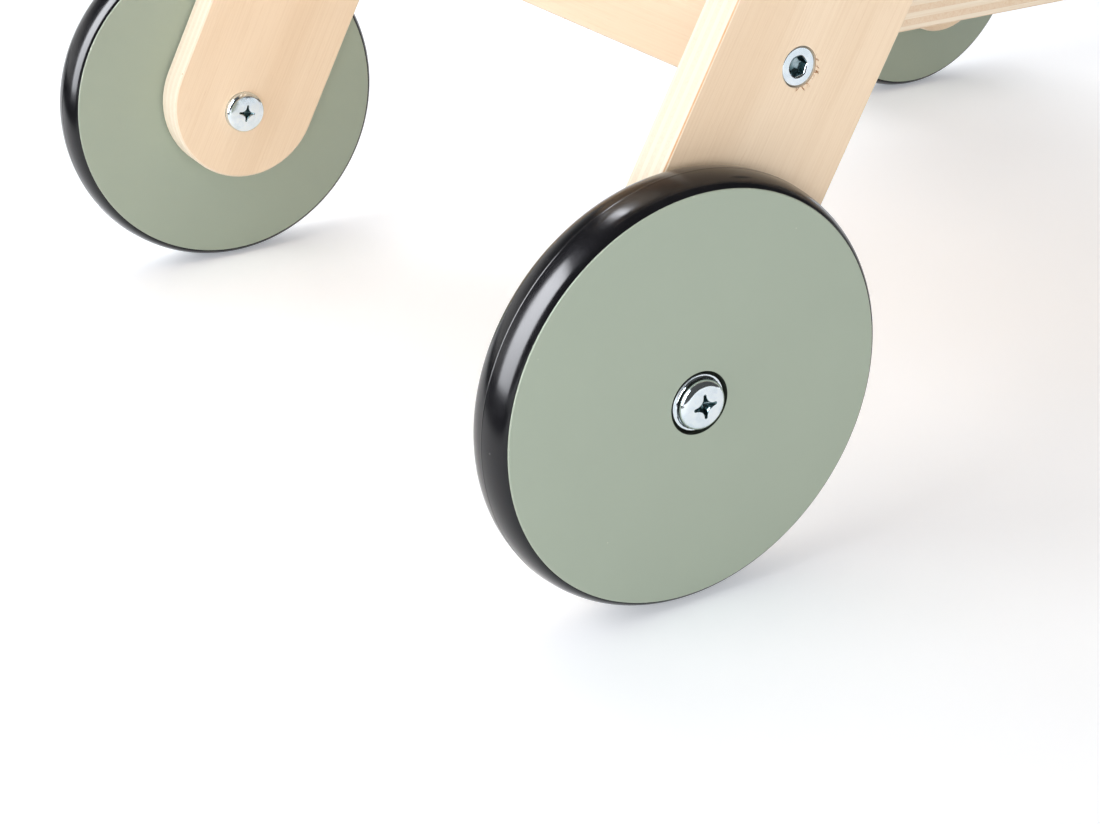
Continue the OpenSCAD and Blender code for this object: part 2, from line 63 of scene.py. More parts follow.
# Grain direction of the boards that lie square in the cart; the legs' grain follows their lean.
SQUARE_BOARDS = {
    "rear_crossbar": ACROSS,
    "front_crossbar": ACROSS,
    "shelf_board": ALONG,
    "tub_left_side": ALONG,
    "tub_right_side": ALONG,
    "tub_front_end": ACROSS,
    "tub_rear_end": ACROSS,
    "tub_floor": ALONG,
}
TURNED_PIECES = {
    "handle_bar": ACROSS,
    "tub_spacers": ACROSS,
    "crossing_spacers": ACROSS,
    "shelf_dowels": ALONG,
}
# The hex-socket screws and bolts, and the kind of leg that their heads sit in.
HEX_NODES = {
    "rear_crossbar_screws": "rear",
    "tub_short_bolts": "rear",
    "front_crossbar_screws": "handle",
    "handle_bar_screws": "handle",
    "tub_long_bolts": "handle",
}

# Steps up to this size in the solids are joined before their edges are rounded.
JOIN = 0.06 * MM
# Points round a wheel, and points across a tyre.
WHEEL_POINTS = 192
TYRE_POINTS = 36
# Torn fibres round a bolt hole: how many, and the ranges of where they start and how far they turn from
# there, in degrees, and of their size, half width and lift, as shares.
FIBRES = 16
FIBRE_START = (-105, 25)
FIBRE_TURN = (-60, 60)
FIBRE_SIZE = (0.3, 1.0)
FIBRE_WIDTH = (0.07, 0.14)
FIBRE_LIFT = (0.1, 0.3)
# How the walls of a recess narrow: the scale of its outline at a share of its depth.
CROSS_WALLS = ((0.97, 0.1), (0.85, 0.42), (0.6, 0.84), (0.35, 1.0))
HEX_WALLS = ((1.0, 0.15), (0.98, 0.87), (0.6, 1.0))
# Where a recess's lip lies and how deep its point reaches, as multiples of its outline and its depth.
RECESS_LIP = 1.06
RECESS_POINT = 1.12
# Rings of a screw's crown, as shares of the way from its rim to its recess.
CROWN_RINGS = (0.3, 0.6, 0.85, 1.0)

# How strongly the lacquer line shows along the edges of the boards, and where it shows most.
LACQUER_LINE = 0.3
LACQUERED = {"rear_right_leg": 0.95, "handle_right_leg": 0.8}
# Depths below a board's face over which that line fades in and out, and the size of its worn patches.
LINE_IN = (0.1 * MM, 0.2 * MM)
LINE_OUT = (0.4 * MM, 0.55 * MM)
WORN_PATCH = 5.0 * MM
# Depth of the grain in wood, and how the noise of the wood is moved by a seed and scaled for its parts.
GRAIN_DEPTH = 0.12 * MM
SEED_STEP = (7.3, 31.7, 19.1)
FIGURE_SCALE = (0.32, 0.028, 0.028)
PORE_SCALE = (7.0, 1.5, 1.5)
# How far from the rim the paint starts to be rubbed thin and is thinnest, and the size of its nicks.
RUB_START = 0.7 * MM
RUB_END = 0.1 * MM
NICK = 1.4 * MM
# Finishes: size of their soft patches, size and depth of their fine tooth, and how strongly it shows.
TOOTH = {
    "torn fibre": (1.2 * MM, 0.2 * MM, 0.05 * MM, 0.3),
    "sage paint": (26.0 * MM, 0.5 * MM, 0.1 * MM, 0.06),
    "black rubber": (9.0 * MM, 0.35 * MM, 0.05 * MM, 0.04),
    "hub recess": (1.5 * MM, 0.3 * MM, 0.1 * MM, 0.2),
    "zinc plate": (3.0 * MM, 0.18 * MM, 0.03 * MM, 0.05),
    "white nylon": (4.0 * MM, 0.3 * MM, 0.05 * MM, 0.1),
}
# Specks: size of a cell, share of cells with a speck, its radius in cells, and how strongly it shows.
SPECKS = {
    "wood": (6.0 * MM, 0.16, 0.07, 0.6),
    "paint": (7.0 * MM, 0.1, 0.03, 0.5),
    "rubber": (5.0 * MM, 0.12, 0.035, 0.5),
}

# Lamps that light the set: place, what they point at, and size in metres. Their powers are settings.
LAMPS = {
    "key": ((-1.57, 0.05, 0.81), (-0.17, -0.15, 0.06), (1.0, 1.5)),
    "top": ((-0.1, 0.65, 1.66), (-0.12, -0.1, 0.05), (0.8, 1.1)),
    "back": ((0.2, 1.8, 1.2), (0.1, 0.3, 0.0), (2.0, 1.2)),
    "front": ((-0.7, -1.25, 0.42), (-0.1, 0.1, 0.1), (0.9, 0.5)),
}
# Fronts of the softboxes, which only polished surfaces mirror: place, what they face, and size in metres.
PANELS = {
    "key_panel": ((-1.57, 0.05, 0.81), (-0.17, -0.15, 0.06), (1.5, 1.85)),
    "top_panel": ((0.1, 0.7, 1.58), (-0.17, -0.15, 0.06), (0.8, 1.1)),
}
# The floor's width, how soft the table's edge is, and where the floor turns white far off, in metres.
FLOOR_W = 12.0
EDGE_SOFT = 0.05
FAR_FLOOR = (0.6, 2.4)
# Where the mirrored backdrop fades in: towards +Y and down from the zenith, as parts of a direction.
BACKDROP_Y = (-0.2, 0.4)
BACKDROP_Z = (0.15, 0.5)
# How soft a softbox's sides are, as a share of its half width, and how bright its lower edge is.
PANEL_SOFT = 0.2
PANEL_FOOT = 0.55


# Settings

def srgb(red, green, blue):
    """A colour given as 0 to 255 on screen, as the linear values that shaders use"""
    def linear(value):
        share = value / 255
        return share / 12.92 if share <= 0.04045 else ((share + 0.055) / 1.055) ** 2.4
    return linear(red), linear(green), linear(blue)


def colour(name, description, default):
    return FloatVectorProperty(
        name=name, description=description, default=default, subtype="COLOR", min=0.0, max=1.0)


def length(name, description, millimetres):
    return FloatProperty(
        name=name, description=description, default=millimetres * MM, unit="LENGTH", subtype="DISTANCE",
        precision=5)


def angle(name, description, degrees):
    return FloatProperty(
        name=name, description=description, default=math.radians(degrees), unit="ROTATION", subtype="ANGLE")


def share(name, description, default):
    return FloatProperty(
        name=name, description=description, default=default, subtype="FACTOR", min=0.0, max=1.0)


def level(name, description, default):
    return FloatProperty(name=name, description=description, default=default, min=0.0)


def power(name, description, watts):
    return FloatProperty(name=name, description=description, default=watts, unit="POWER", min=0.0)


class WoodSettings(bpy.types.PropertyGroup):
    """Colours and layers of the plywood boards and the turned wood"""
    face: colour("Face", "Lacquered face veneer", srgb(247, 224, 196))
    face_dark: colour("Face grain", "Darker fibres in the face veneer", srgb(222, 190, 155))
    edge: colour("Edge", "Bare plies on the boards' edges", srgb(247, 237, 219))
    edge_dark: colour("Edge grain", "Plies that are cut across their fibres", srgb(226, 198, 168))
    glue: colour("Glue", "Glue lines between the plies", srgb(205, 164, 120))
    arris: colour("Arris", "Line along the edges, where the lacquer has soaked in", srgb(204, 132, 34))
    turned: colour("Turned wood", "Handle bar, spacers and dowels", srgb(232, 200, 164))
    turned_dark: colour("Turned wood flecks", "Short dark flecks of the turned wood", srgb(190, 141, 97))
    torn: colour("Torn fibres", "Loose fibres round the bolt holes", srgb(166, 116, 72))
    leg_plies: share("Plies on legs", "How strongly the plies show on the legs' edges", 0.35)
    board_plies: share("Plies on boards", "How strongly the plies show on the other boards' edges", 0.8)
    ply: length("Ply", "Thickness of one ply", 1.7)
    rounding: length("Rounding", "Soft rounding of the boards' corners", 0.22)
    fibre_l: length("Fibre length", "Length of the streaks along the grain", 38)
    fibre_w: length("Fibre width", "Width of the streaks", 0.55)
    sliver_l: length("Sliver length", "Longest torn fibre round a bolt hole", 1.7)


class WheelSettings(bpy.types.PropertyGroup):
    """The painted discs and their tyres"""
    paint: colour("Paint", "Matt paint of the discs", srgb(163, 174, 158))
    primer: colour("Primer", "Pale wood where the paint is rubbed thin", srgb(205, 207, 190))
    rubber: colour("Rubber", "Moulded rubber of the tyres", srgb(19, 19, 22))
    bloom: colour("Bloom", "Grey haze in the rubber's dull patches", (0.5, 0.5, 0.52))
    dust: colour("Dust", "Grains of dust on the rubber", (0.7, 0.7, 0.7))
    # The hub colour is painted shade: it darkens the recess round the axle screw, where shade falls.
    hub: colour("Hub recess", "Dark bare wall of the recess round the axle screw", srgb(52, 57, 47))
    rim_round: length("Rim rounding", "Radius of the painted rim's edge", 0.35)
    recess_d: length("Hub recess", "Diameter of the recess for the axle screw", 17.5)
    mouth_round: length("Hub recess rounding", "Radius of that recess's edge", 0.12)
    groove_w: length("Groove", "Width of the rim groove under the tyre", 8)
    groove_depth: length("Groove depth", "Depth of that groove", 4)
    tyre_inset: length("Tyre inset", "How far the tyre's flanks start behind the disc's faces", 0.35)
    tyre_lean: level("Tyre lean", "How lean the tyre's flanks are: 1 gives them the curve of an ellipse", 1.2)
    seam_w: length("Seam", "Width of the tyre's mould seam", 0.32)
    seam_h: length("Seam height", "Height of the mould seam", 0.065)
    fit: length("Fit", "Gap between the disc and what sits in it", 0.05)


class MetalSettings(bpy.types.PropertyGroup):
    """Zinc plate of the screws and washers, and the nylon bushes"""
    zinc: colour("Zinc", "Bright zinc plate", srgb(229, 237, 241))
    zinc_blue: colour("Zinc tint", "Bluish patches of the plate", srgb(208, 222, 229))
    # The recess colour is painted shade: the plate inside the screws' recesses is darkened where shade falls.
    recess: colour("Recess", "Dull plate inside the recesses", srgb(96, 122, 125))
    nylon: colour("Nylon", "Bushes in the wheels", srgb(231, 229, 220))
    nylon_aged: colour("Aged nylon", "Yellowish patches of the bushes", (0.6, 0.58, 0.5))
    washer_edge: length("Washer edge", "Rounding of the washers and bushes", 0.12)


class AxleScrewSettings(bpy.types.PropertyGroup):
    """The screws that hold the wheels: a thin flange under a pan-shaped cap with a cross recess"""
    head_h: length("Head height", "Height of flange and cap", 5.6)
    flange_t: length("Flange", "Thickness of the flange", 2.4)
    flange_edge: length("Flange edge", "Rounding of the flange's edge", 0.4)
    cap_d: length("Cap", "Diameter of the cap", 14)
    shoulder: length("Shoulder", "Radius of the cap's shoulder", 2.1)
    crown: length("Crown", "Rise of the cap over its shoulder", 0.3)
    shank_d: length("Shank", "Diameter of the thread", 5)
    arm: length("Cross arm", "Reach of the cross recess", 3.4)
    web: length("Cross tip", "Radius of the tips of the cross", 0.45)
    fillet: length("Cross fillet", "Radius between the arms of the cross", 2.4)
    depth: length("Cross depth", "Depth of the cross recess", 1.9)
    turn: angle("Cross turn", "Turn of the cross recess", 6)


class SleeveSettings(bpy.types.PropertyGroup):
    """The axle sleeves, whose pan heads show on the inside of the legs"""
    head_h: length("Head height", "Height of the pan head", 2.95)
    wall: length("Wall", "Height of the straight wall of the head", 0.9)
    shoulder: length("Shoulder", "Radius of the head's shoulder", 1.6)
    tube_d: length("Tube", "Diameter of the sleeve", 8)
    arm: length("Cross arm", "Reach of the cross recess", 2.9)
    web: length("Cross tip", "Radius of the tips of the cross", 0.35)
    fillet: length("Cross fillet", "Radius between the arms of the cross", 1.9)
    depth: length("Cross depth", "Depth of the cross recess", 2.0)
    turn: angle("Cross turn", "Turn of the cross recess", -12)


class HexSettings(bpy.types.PropertyGroup):
    """The hex-socket screws and bolts"""
    head_h: length("Head height", "Height of the head", 3.5)
    edge: length("Edge", "Rounding of the head's upper edge", 0.4)
    foot: length("Foot", "Rounding of the head's lower edge", 0.3)
    shank_d: length("Shank", "Diameter of the shank", 6)
    point: length("Point", "Chamfer of the shank's tip", 0.5)
    socket: length("Socket", "Width of the socket across its flats", 4.9)
    mouth_d: length("Mouth", "Diameter of the socket's round mouth", 6.2)
    depth: length("Depth", "Depth of the socket", 2.3)
    gap: length("Gap", "Gap between the head and its hole", 0.25)
    turn: angle("Turn", "Turn of the socket", 12)


class NutSettings(bpy.types.PropertyGroup):
    """The sleeve nuts, whose low domed heads show inside the tub"""
    head_h: length("Head height", "Height of the head", 2.0)
    edge: length("Edge", "Radius of the head's edge", 0.4)
    barrel_d: length("Barrel", "Diameter of the barrel", 8)
    crown_d: length("Crown", "Diameter of the crown round the socket", 7.2)
    socket: length("Socket", "Width of the socket across its flats", 4.0)
    depth: length("Depth", "Depth of the socket", 1.4)
    turn: angle("Turn", "Turn of the socket", 11.5)


class WoodScrewSettings(bpy.types.PropertyGroup):
    """The countersunk wood screws of the tub"""
    edge: length("Edge", "Height of the head's straight edge", 0.12)
    shank_d: length("Shank", "Diameter of the shank", 3.5)
    flat_d: length("Flat", "Diameter of the flat round the recess", 5.2)
    arm: length("Cross arm", "Reach of the cross recess", 1.9)
    web: length("Cross tip", "Radius of the tips of the cross", 0.3)
    fillet: length("Cross fillet", "Radius between the arms of the cross", 0.8)
    depth: length("Cross depth", "Depth of the cross recess", 1.2)


class StageSettings(bpy.types.PropertyGroup):
    """Floor, light and camera"""
    floor: colour("Floor", "Pale studio floor", (0.9, 0.91, 0.93))
    floor_lift: level("Floor lift", "How much light the camera adds to the floor", 0.28)
    lift_tint: colour("Floor tint", "Pale blue of that light", (0.88, 0.93, 1.0))
    sky: level("Sky", "Strength of the soft light from all round", 0.38)
    backdrop: level("Backdrop", "Brightness of the backdrop, as mirrored", 0.95)
    dim: level("Dim", "Brightness of the room round the camera, as mirrored", 0.08)
    key: power("Key", "Power of the tall softbox behind the cart", 13.5)
    top: power("Top", "Power of the softbox overhead", 7.0)
    back: power("Back", "Power of the lamp on the backdrop", 15.0)
    front: power("Front", "Power of the soft light by the camera", 8.4)
    key_panel: level("Key panel", "Brightness of the tall softbox, as mirrored", 21.0)
    top_panel: level("Top panel", "Brightness of the softbox overhead, as mirrored", 26.0)
    panel_tint: colour("Panel tint", "Colour of the softboxes, as mirrored", (0.93, 0.95, 1.0))
    table_edge: FloatProperty(
        name="Table edge", description="Where the white floor ends for mirrors, along X", default=-0.42,
        unit="LENGTH")
    camera: FloatVectorProperty(
        name="Camera", description="Where the camera stands", default=(-0.4457, -0.5248, 0.2891),
        subtype="TRANSLATION", unit="LENGTH")
    yaw: angle("Yaw", "Camera's turn from +Y towards +X", 32.126)
    pitch: angle("Pitch", "Camera's tilt below the horizon", 26.637)
    lens: FloatProperty(
        name="Lens", description="Focal length on a 36 mm sensor", default=66.08, unit="CAMERA")


class CartSettings(bpy.types.PropertyGroup):
    """Everything that the operators read"""
    wood: PointerProperty(type=WoodSettings)
    wheel: PointerProperty(type=WheelSettings)
    metal: PointerProperty(type=MetalSettings)
    axle_screw: PointerProperty(type=AxleScrewSettings)
    sleeve: PointerProperty(type=SleeveSettings)
    hex: PointerProperty(type=HexSettings)
    nut: PointerProperty(type=NutSettings)
    wood_screw: PointerProperty(type=WoodScrewSettings)
    stage: PointerProperty(type=StageSettings)


def settings():
    return bpy.context.scene.toy_cart


# Shader nodes

class Sketch:
    """Adds nodes to one tree. A value that is a socket is linked, and any other value is set."""

    # For each type of mix: the sockets of its two values, and of its result
    MIXES = {"RGBA": (6, 7, 2), "FLOAT": (2, 3, 0), "VECTOR": (4, 5, 1)}

    def __init__(self, tree):
        self.tree = tree

    def put(self, socket, value):
        if isinstance(value, bpy.types.NodeSocket):
            self.tree.links.new(value, socket)
        elif socket.type == "RGBA":
            socket.default_value = (*value[:3], 1.0)
        else:
            socket.default_value = value

    def add(self, kind, values=None, **options):
        node = self.tree.nodes.new(f"ShaderNode{kind}")
        for name, value in options.items():
            setattr(node, name, value)
        for key, value in (values or {}).items():
            self.put(node.inputs[key], value)
        return node

    def group(self, name, values):
        return self.add("Group", values, node_tree=bpy.data.node_groups[name]).outputs

    def coordinates(self):
        return self.add("TexCoord").outputs

    def math(self, operation, first, second=0.0):
        return self.add("Math", {0: first, 1: second}, operation=operation).outputs[0]

    def times(self, first, second):
        return self.math("MULTIPLY", first, second)

    def rest(self, value):
        """What a value lacks to 1"""
        return self.math("SUBTRACT", 1.0, value)

    def vector(self, operation, first, second=(0, 0, 0)):
        node = self.add("VectorMath", {0: first, 1: second}, operation=operation)
        return node.outputs["Value" if operation in ("DOT_PRODUCT", "LENGTH") else "Vector"]

    def combine(self, x, y, z):
        return self.add("CombineXYZ", {0: x, 1: y, 2: z}).outputs[0]

    def split(self, vector):
        return self.add("SeparateXYZ", {0: vector}).outputs

    def ramp(self, value, start, end):
        """0 below start and 1 above end, with a smooth step between them"""
        values = {"Value": value, "From Min": start, "From Max": end}
        return self.add("MapRange", values, interpolation_type="SMOOTHSTEP").outputs[0]

    def blend(self, kind, share, first, second):
        low, high, result = self.MIXES[kind]
        return self.add("Mix", {0: share, low: first, high: second}, data_type=kind).outputs[result]

    def mix(self, share, first, second):
        return self.blend("RGBA", share, first, second)

    def between(self, share, first, second):
        return self.blend("FLOAT", share, first, second)

    def noise(self, vector, scale, detail, roughness):
        values = {"Vector": vector, "Scale": scale, "Detail": detail, "Roughness": roughness}
        return self.add("TexNoise", values).outputs["Fac"]

    def bump(self, height, strength, distance):
        values = {"Height": height, "Strength": strength, "Distance": distance}
        return self.add("Bump", values).outputs[0]


def new_group(name, floats, outputs):
    """An empty shader node group that takes a vector and floats: its sketch, and its sockets in and out"""
    tree = bpy.data.node_groups.new(name, "ShaderNodeTree")
    kinds = {"Vector": "Vector"} | dict.fromkeys(floats, "Float")
    for label, kind in kinds.items():
        tree.interface.new_socket(label, in_out="INPUT", socket_type=f"NodeSocket{kind}")
    for label in outputs:
        tree.interface.new_socket(label, in_out="OUTPUT", socket_type="NodeSocketFloat")
    return Sketch(tree), tree.nodes.new("NodeGroupInput").outputs, tree.nodes.new("NodeGroupOutput").inputs


def fibre_group():
    """Streaks along X, broad figure and short dark pores, as in cut wood"""
    s, given, out = new_group("Wood fibre", ("Length", "Width", "Seed"), ("Streaks", "Figure", "Pores"))
    thin = s.math("DIVIDE", 1.0, given["Width"])
    stretch = s.combine(s.math("DIVIDE", 1.0, given["Length"]), thin, thin)
    seeds = s.combine(given["Seed"], given["Seed"], given["Seed"])
    place = s.vector("MULTIPLY", given["Vector"], stretch)
    place = s.vector("ADD", place, s.vector("MULTIPLY", seeds, SEED_STEP))
    s.put(out["Streaks"], s.noise(place, 1.0, 5.0, 0.6))
    s.put(out["Figure"], s.noise(s.vector("MULTIPLY", place, FIGURE_SCALE), 1.0, 3.0, 0.45))
    short = s.noise(s.vector("MULTIPLY", place, PORE_SCALE), 1.0, 1.0, 0.4)
    s.put(out["Pores"], s.ramp(short, 0.68, 0.78))


def ply_group():
    """Layers across Z: which plies run crosswise, the glue lines, and the arris beside the two faces"""
    s, given, out = new_group("Ply stack", ("Thickness", "Plies"), ("Across", "Glue", "Arris"))
    z = s.split(given["Vector"])[2]
    depth = s.math("ADD", s.math("DIVIDE", z, given["Thickness"]), 0.5)
    # The faces themselves stay inside the first and the last ply.
    layer = s.math("MAXIMUM", s.times(depth, given["Plies"]), 0.01)
    layer = s.math("MINIMUM", layer, s.math("SUBTRACT", given["Plies"], 0.01))
    s.put(out["Across"], s.math("MODULO", s.math("FLOOR", layer), 2.0))
    side = s.math("ABSOLUTE", s.math("SUBTRACT", s.math("FRACT", layer), 0.5))
    s.put(out["Glue"], s.ramp(side, 0.44, 0.5))
    skin = s.math("SUBTRACT", s.times(given["Thickness"], 0.5), s.math("ABSOLUTE", z))
    s.put(out["Arris"], s.times(s.ramp(skin, *LINE_IN), s.rest(s.ramp(skin, *LINE_OUT))))


def mottle_group():
    """Soft patches and a fine tooth, as on paint, rubber, plate and plastic"""
    s, given, out = new_group("Mottle", ("Patch", "Tooth"), ("Patches", "Tooth"))
    s.put(out["Patches"], s.noise(given["Vector"], s.math("DIVIDE", 1.0, given["Patch"]), 4.0, 0.55))
    s.put(out["Tooth"], s.noise(given["Vector"], s.math("DIVIDE", 1.0, given["Tooth"]), 3.0, 0.6))


def specks_group():
    """Separate small dots: one in a share of the cells of a loose grid"""
    s, given, out = new_group("Specks", ("Cell", "Share", "Radius"), ("Mask",))
    scale = s.math("DIVIDE", 1.0, given["Cell"])
    cells = s.add("TexVoronoi", {"Vector": given["Vector"], "Scale": scale}).outputs
    chance = s.add("SeparateColor", {0: cells["Color"]}).outputs[0]
    chosen = s.math("LESS_THAN", chance, given["Share"])
    s.put(out["Mask"], s.times(chosen, s.math("LESS_THAN", cells["Distance"], given["Radius"])))


def make_groups():
    fibre_group()
    ply_group()
    mottle_group()
    specks_group()


# Materials

def new_material(name, **constants):
    """A Principled material with its constant values set: its sketch and its shader's inputs"""
    material = bpy.data.materials.new(name)
    material.use_nodes = True
    shader = material.node_tree.nodes["Principled BSDF"].inputs
    for key, value in constants.items():
        shader[key.replace("_", " ").title().replace("Ior", "IOR")].default_value = value
    return material, Sketch(material.node_tree), shader


def mottled(s, shader, finish):
    """Gives a surface the fine tooth of a finish: its coordinates and its soft patches"""
    patch, tooth, depth, strength = TOOTH[finish]
    place = s.coordinates()["Object"]
    mottle = s.group("Mottle", {"Vector": place, "Patch": patch, "Tooth": tooth})
    s.put(shader["Normal"], s.bump(mottle["Tooth"], strength, depth))
    return place, mottle["Patches"]


def specks(s, place, kind):
    """A mask of specks, as strong as they show"""
    cell, chance, radius, strength = SPECKS[kind]
    dots = s.group("Specks", {"Vector": place, "Cell": cell, "Share": chance, "Radius": radius})
    return s.times(dots["Mask"], strength)


def plywood(name, axes, thickness, seed, plies_show, line_shows):
    """Lacquered veneer on the two faces and bare plies on the edges of a board with these axes"""
    wood = settings().wood
    material, s, shader = new_material(name, specular_ior_level=0.12)
    coordinates = s.coordinates()
    local = s.add(
        "Mapping",
        {"Vector": coordinates["Object"], "Location": axes.to_translation(), "Rotation": axes.to_euler()},
        vector_type="TEXTURE").outputs[0]
    facing = s.vector("DOT_PRODUCT", coordinates["Normal"], axes.to_3x3().col[2])
    face = s.ramp(s.math("ABSOLUTE", facing), 0.86, 0.97)
    plies = 2 * round((thickness / wood.ply - 1) / 2) + 1
    stack = s.group("Ply stack", {"Vector": local, "Thickness": thickness, "Plies": plies})
    x, y, z = s.split(local)
    fibre = s.group("Wood fibre", {
        "Vector": s.blend("VECTOR", stack["Across"], local, s.combine(y, x, z)),
        "Length": wood.fibre_l, "Width": wood.fibre_w, "Seed": seed,
    })
    streaks = s.ramp(fibre["Streaks"], 0.36, 0.74)
    veneer = s.mix(s.times(streaks, 0.24), wood.face, wood.face_dark)
    veneer = s.mix(s.times(s.ramp(fibre["Figure"], 0.4, 0.7), 0.3), veneer, wood.face_dark)
    veneer = s.mix(s.times(fibre["Pores"], 0.15), veneer, wood.glue)
    across = s.times(stack["Across"], 0.5 * plies_show)
    grain = s.times(streaks, 0.08 + 0.3 * plies_show)
    tone = s.math("ADD", s.math("ADD", across, grain), 0.35 * plies_show)
    edge = s.mix(tone, wood.edge, wood.edge_dark)
    edge = s.mix(s.times(stack["Glue"], 0.3 * plies_show), edge, wood.glue)
    edge = s.mix(specks(s, local, "wood"), edge, wood.arris)
    worn = s.between(s.noise(local, 1 / WORN_PATCH, 3.0, 0.6), 0.35 * line_shows, line_shows)
    edge = s.mix(s.times(stack["Arris"], worn), edge, wood.arris)
    s.put(shader["Base Color"], s.mix(face, edge, veneer))
    s.put(shader["Roughness"], s.between(face, 0.68, s.between(streaks, 0.46, 0.56)))
    height = s.math("SUBTRACT", streaks, s.times(fibre["Pores"], 0.8))
    s.put(shader["Normal"], s.bump(height, 0.18, GRAIN_DEPTH))
    return material


def turned_wood(name, grain, seed):
    """Plain wood with short flecks, its grain along one axis"""
    wood = settings().wood
    material, s, shader = new_material(name)
    turn = Vector(ALONG).rotation_difference(Vector(grain)).to_euler()
    values = {"Vector": s.coordinates()["Object"], "Rotation": turn}
    local = s.add("Mapping", values, vector_type="TEXTURE").outputs[0]
    fibre = s.group("Wood fibre", {
        "Vector": local, "Length": 0.5 * wood.fibre_l, "Width": wood.fibre_w, "Seed": seed})
    streaks = s.ramp(fibre["Streaks"], 0.35, 0.75)
    base = s.mix(s.times(streaks, 0.4), wood.turned, wood.turned_dark)
    base = s.mix(s.times(s.ramp(fibre["Figure"], 0.4, 0.7), 0.25), base, wood.turned_dark)
    s.put(shader["Base Color"], s.mix(s.times(fibre["Pores"], 0.6), base, wood.turned_dark))
    s.put(shader["Roughness"], s.between(streaks, 0.42, 0.54))
    s.put(shader["Normal"], s.bump(s.math("SUBTRACT", streaks, fibre["Pores"]), 0.2, GRAIN_DEPTH))
    return material


def torn_fibre():
    """Loose fibres, pale and brown in patches"""
    wood = settings().wood
    material, s, shader = new_material("torn fibre", roughness=0.8)
    _, patches = mottled(s, shader, "torn fibre")
    s.put(shader["Base Color"], s.mix(s.ramp(patches, 0.4, 0.6), wood.torn, wood.edge_dark))
    return material


def sage_paint(rim):
    """Matt paint with a fine tooth, rubbed a little thin along the rim"""
    wheel = settings().wheel
    material, s, shader = new_material("sage paint", specular_ior_level=0.4)
    place, patches = mottled(s, shader, "sage paint")
    shade = s.between(patches, 0.96, 1.03)
    base = s.vector("MULTIPLY", wheel.paint, s.combine(shade, shade, shade))
    reach = s.vector("LENGTH", s.vector("MULTIPLY", place, (1, 1, 0)))
    edge = s.ramp(reach, rim - RUB_START, rim - RUB_END)
    nicks = s.ramp(s.noise(place, 1 / NICK, 3.0, 0.6), 0.56, 0.7)
    base = s.mix(s.times(edge, s.between(nicks, 0.06, 0.5)), base, wheel.primer)
    s.put(shader["Base Color"], s.mix(specks(s, place, "paint"), base, wheel.primer))
    s.put(shader["Roughness"], s.between(patches, 0.44, 0.58))
    return material


def black_rubber():
    """Smooth moulded rubber with soft dull patches and a few grains of dust"""
    wheel = settings().wheel
    material, s, shader = new_material("black rubber", specular_ior_level=0.38)
    place, patches = mottled(s, shader, "black rubber")
    base = s.mix(s.times(s.ramp(patches, 0.5, 0.75), 0.008), wheel.rubber, wheel.bloom)
    s.put(shader["Base Color"], s.mix(specks(s, place, "rubber"), base, wheel.dust))
    s.put(shader["Roughness"], s.between(s.ramp(patches, 0.35, 0.7), 0.16, 0.22))
    return material


def shaded_hub_wall():
    """Wood in the recess round an axle screw, made dark with painted shade"""
    dark = settings().wheel.hub
    material, s, shader = new_material("hub recess", roughness=0.8)
    _, patches = mottled(s, shader, "hub recess")
    s.put(shader["Base Color"], s.mix(patches, dark, [0.4 * value for value in dark]))
    return material


def zinc_plate(name, base, dull):
    """Plated steel with faint bluish patches; dull is its least roughness"""
    material, s, shader = new_material(name, metallic=1.0)
    _, patches = mottled(s, shader, "zinc plate")
    tinted = s.ramp(patches, 0.4, 0.7)
    s.put(shader["Base Color"], s.mix(s.times(tinted, 0.6), base, settings().metal.zinc_blue))
    s.put(shader["Roughness"], s.between(tinted, dull, dull + 0.08))
    return material


def zinc_materials():
    """The plate of the heads and a duller one inside their recesses, darkened there with painted shade; both
    made on first use
    """
    metal = settings().metal
    kept = bpy.data.materials.get
    return (kept("zinc plate") or zinc_plate("zinc plate", metal.zinc, 0.12),
            kept("zinc recess") or zinc_plate("zinc recess", metal.recess, 0.18))


def white_nylon():
    """Natural nylon with faint yellowish patches"""
    metal = settings().metal
    material, s, shader = new_material("white nylon", subsurface_weight=0.1)
    _, patches = mottled(s, shader, "white nylon")
    s.put(shader["Base Color"], s.mix(s.times(patches, 0.3), metal.nylon, metal.nylon_aged))
    s.put(shader["Roughness"], s.between(patches, 0.34, 0.5))
    return material


# Meshes

def circle(radius, height, turns):
    return [(radius * math.cos(a), radius * math.sin(a), height) for a in turns]


def even_turns(count):
    return [ROUND * i / count for i in range(count)]


def arc(centre, radius, start, end, steps):
    """Points of a profile along an arc about (radius, height), with angles in degrees from outward"""
    points = []
    for i in range(steps + 1):
        a = math.radians(start + (end - start) * i / steps)
        points.append((centre[0] + radius * math.cos(a), centre[1] + radius * math.sin(a)))
    return points


def loft(bm, rings, placing=Matrix(), closed=False, material=0):
    """Skins a run of rings with equal numbers of points; a ring of one point closes an end"""
    skins = [[bm.verts.new(placing @ Vector(p)) for p in ring] for ring in rings]
    pairs = list(zip(skins, skins[1:]))
    if closed:
        pairs.append((skins[-1], skins[0]))
    faces = []
    for low, high in pairs:
        count = max(len(low), len(high))
        for i in range(count):
            j = (i + 1) % count
            corners = [low[i % len(low)], low[j % len(low)], high[j % len(high)], high[i % len(high)]]
            face = bm.faces.new(dict.fromkeys(corners))
            face.material_index = material
            face.smooth = True
            faces.append(face)
    return faces


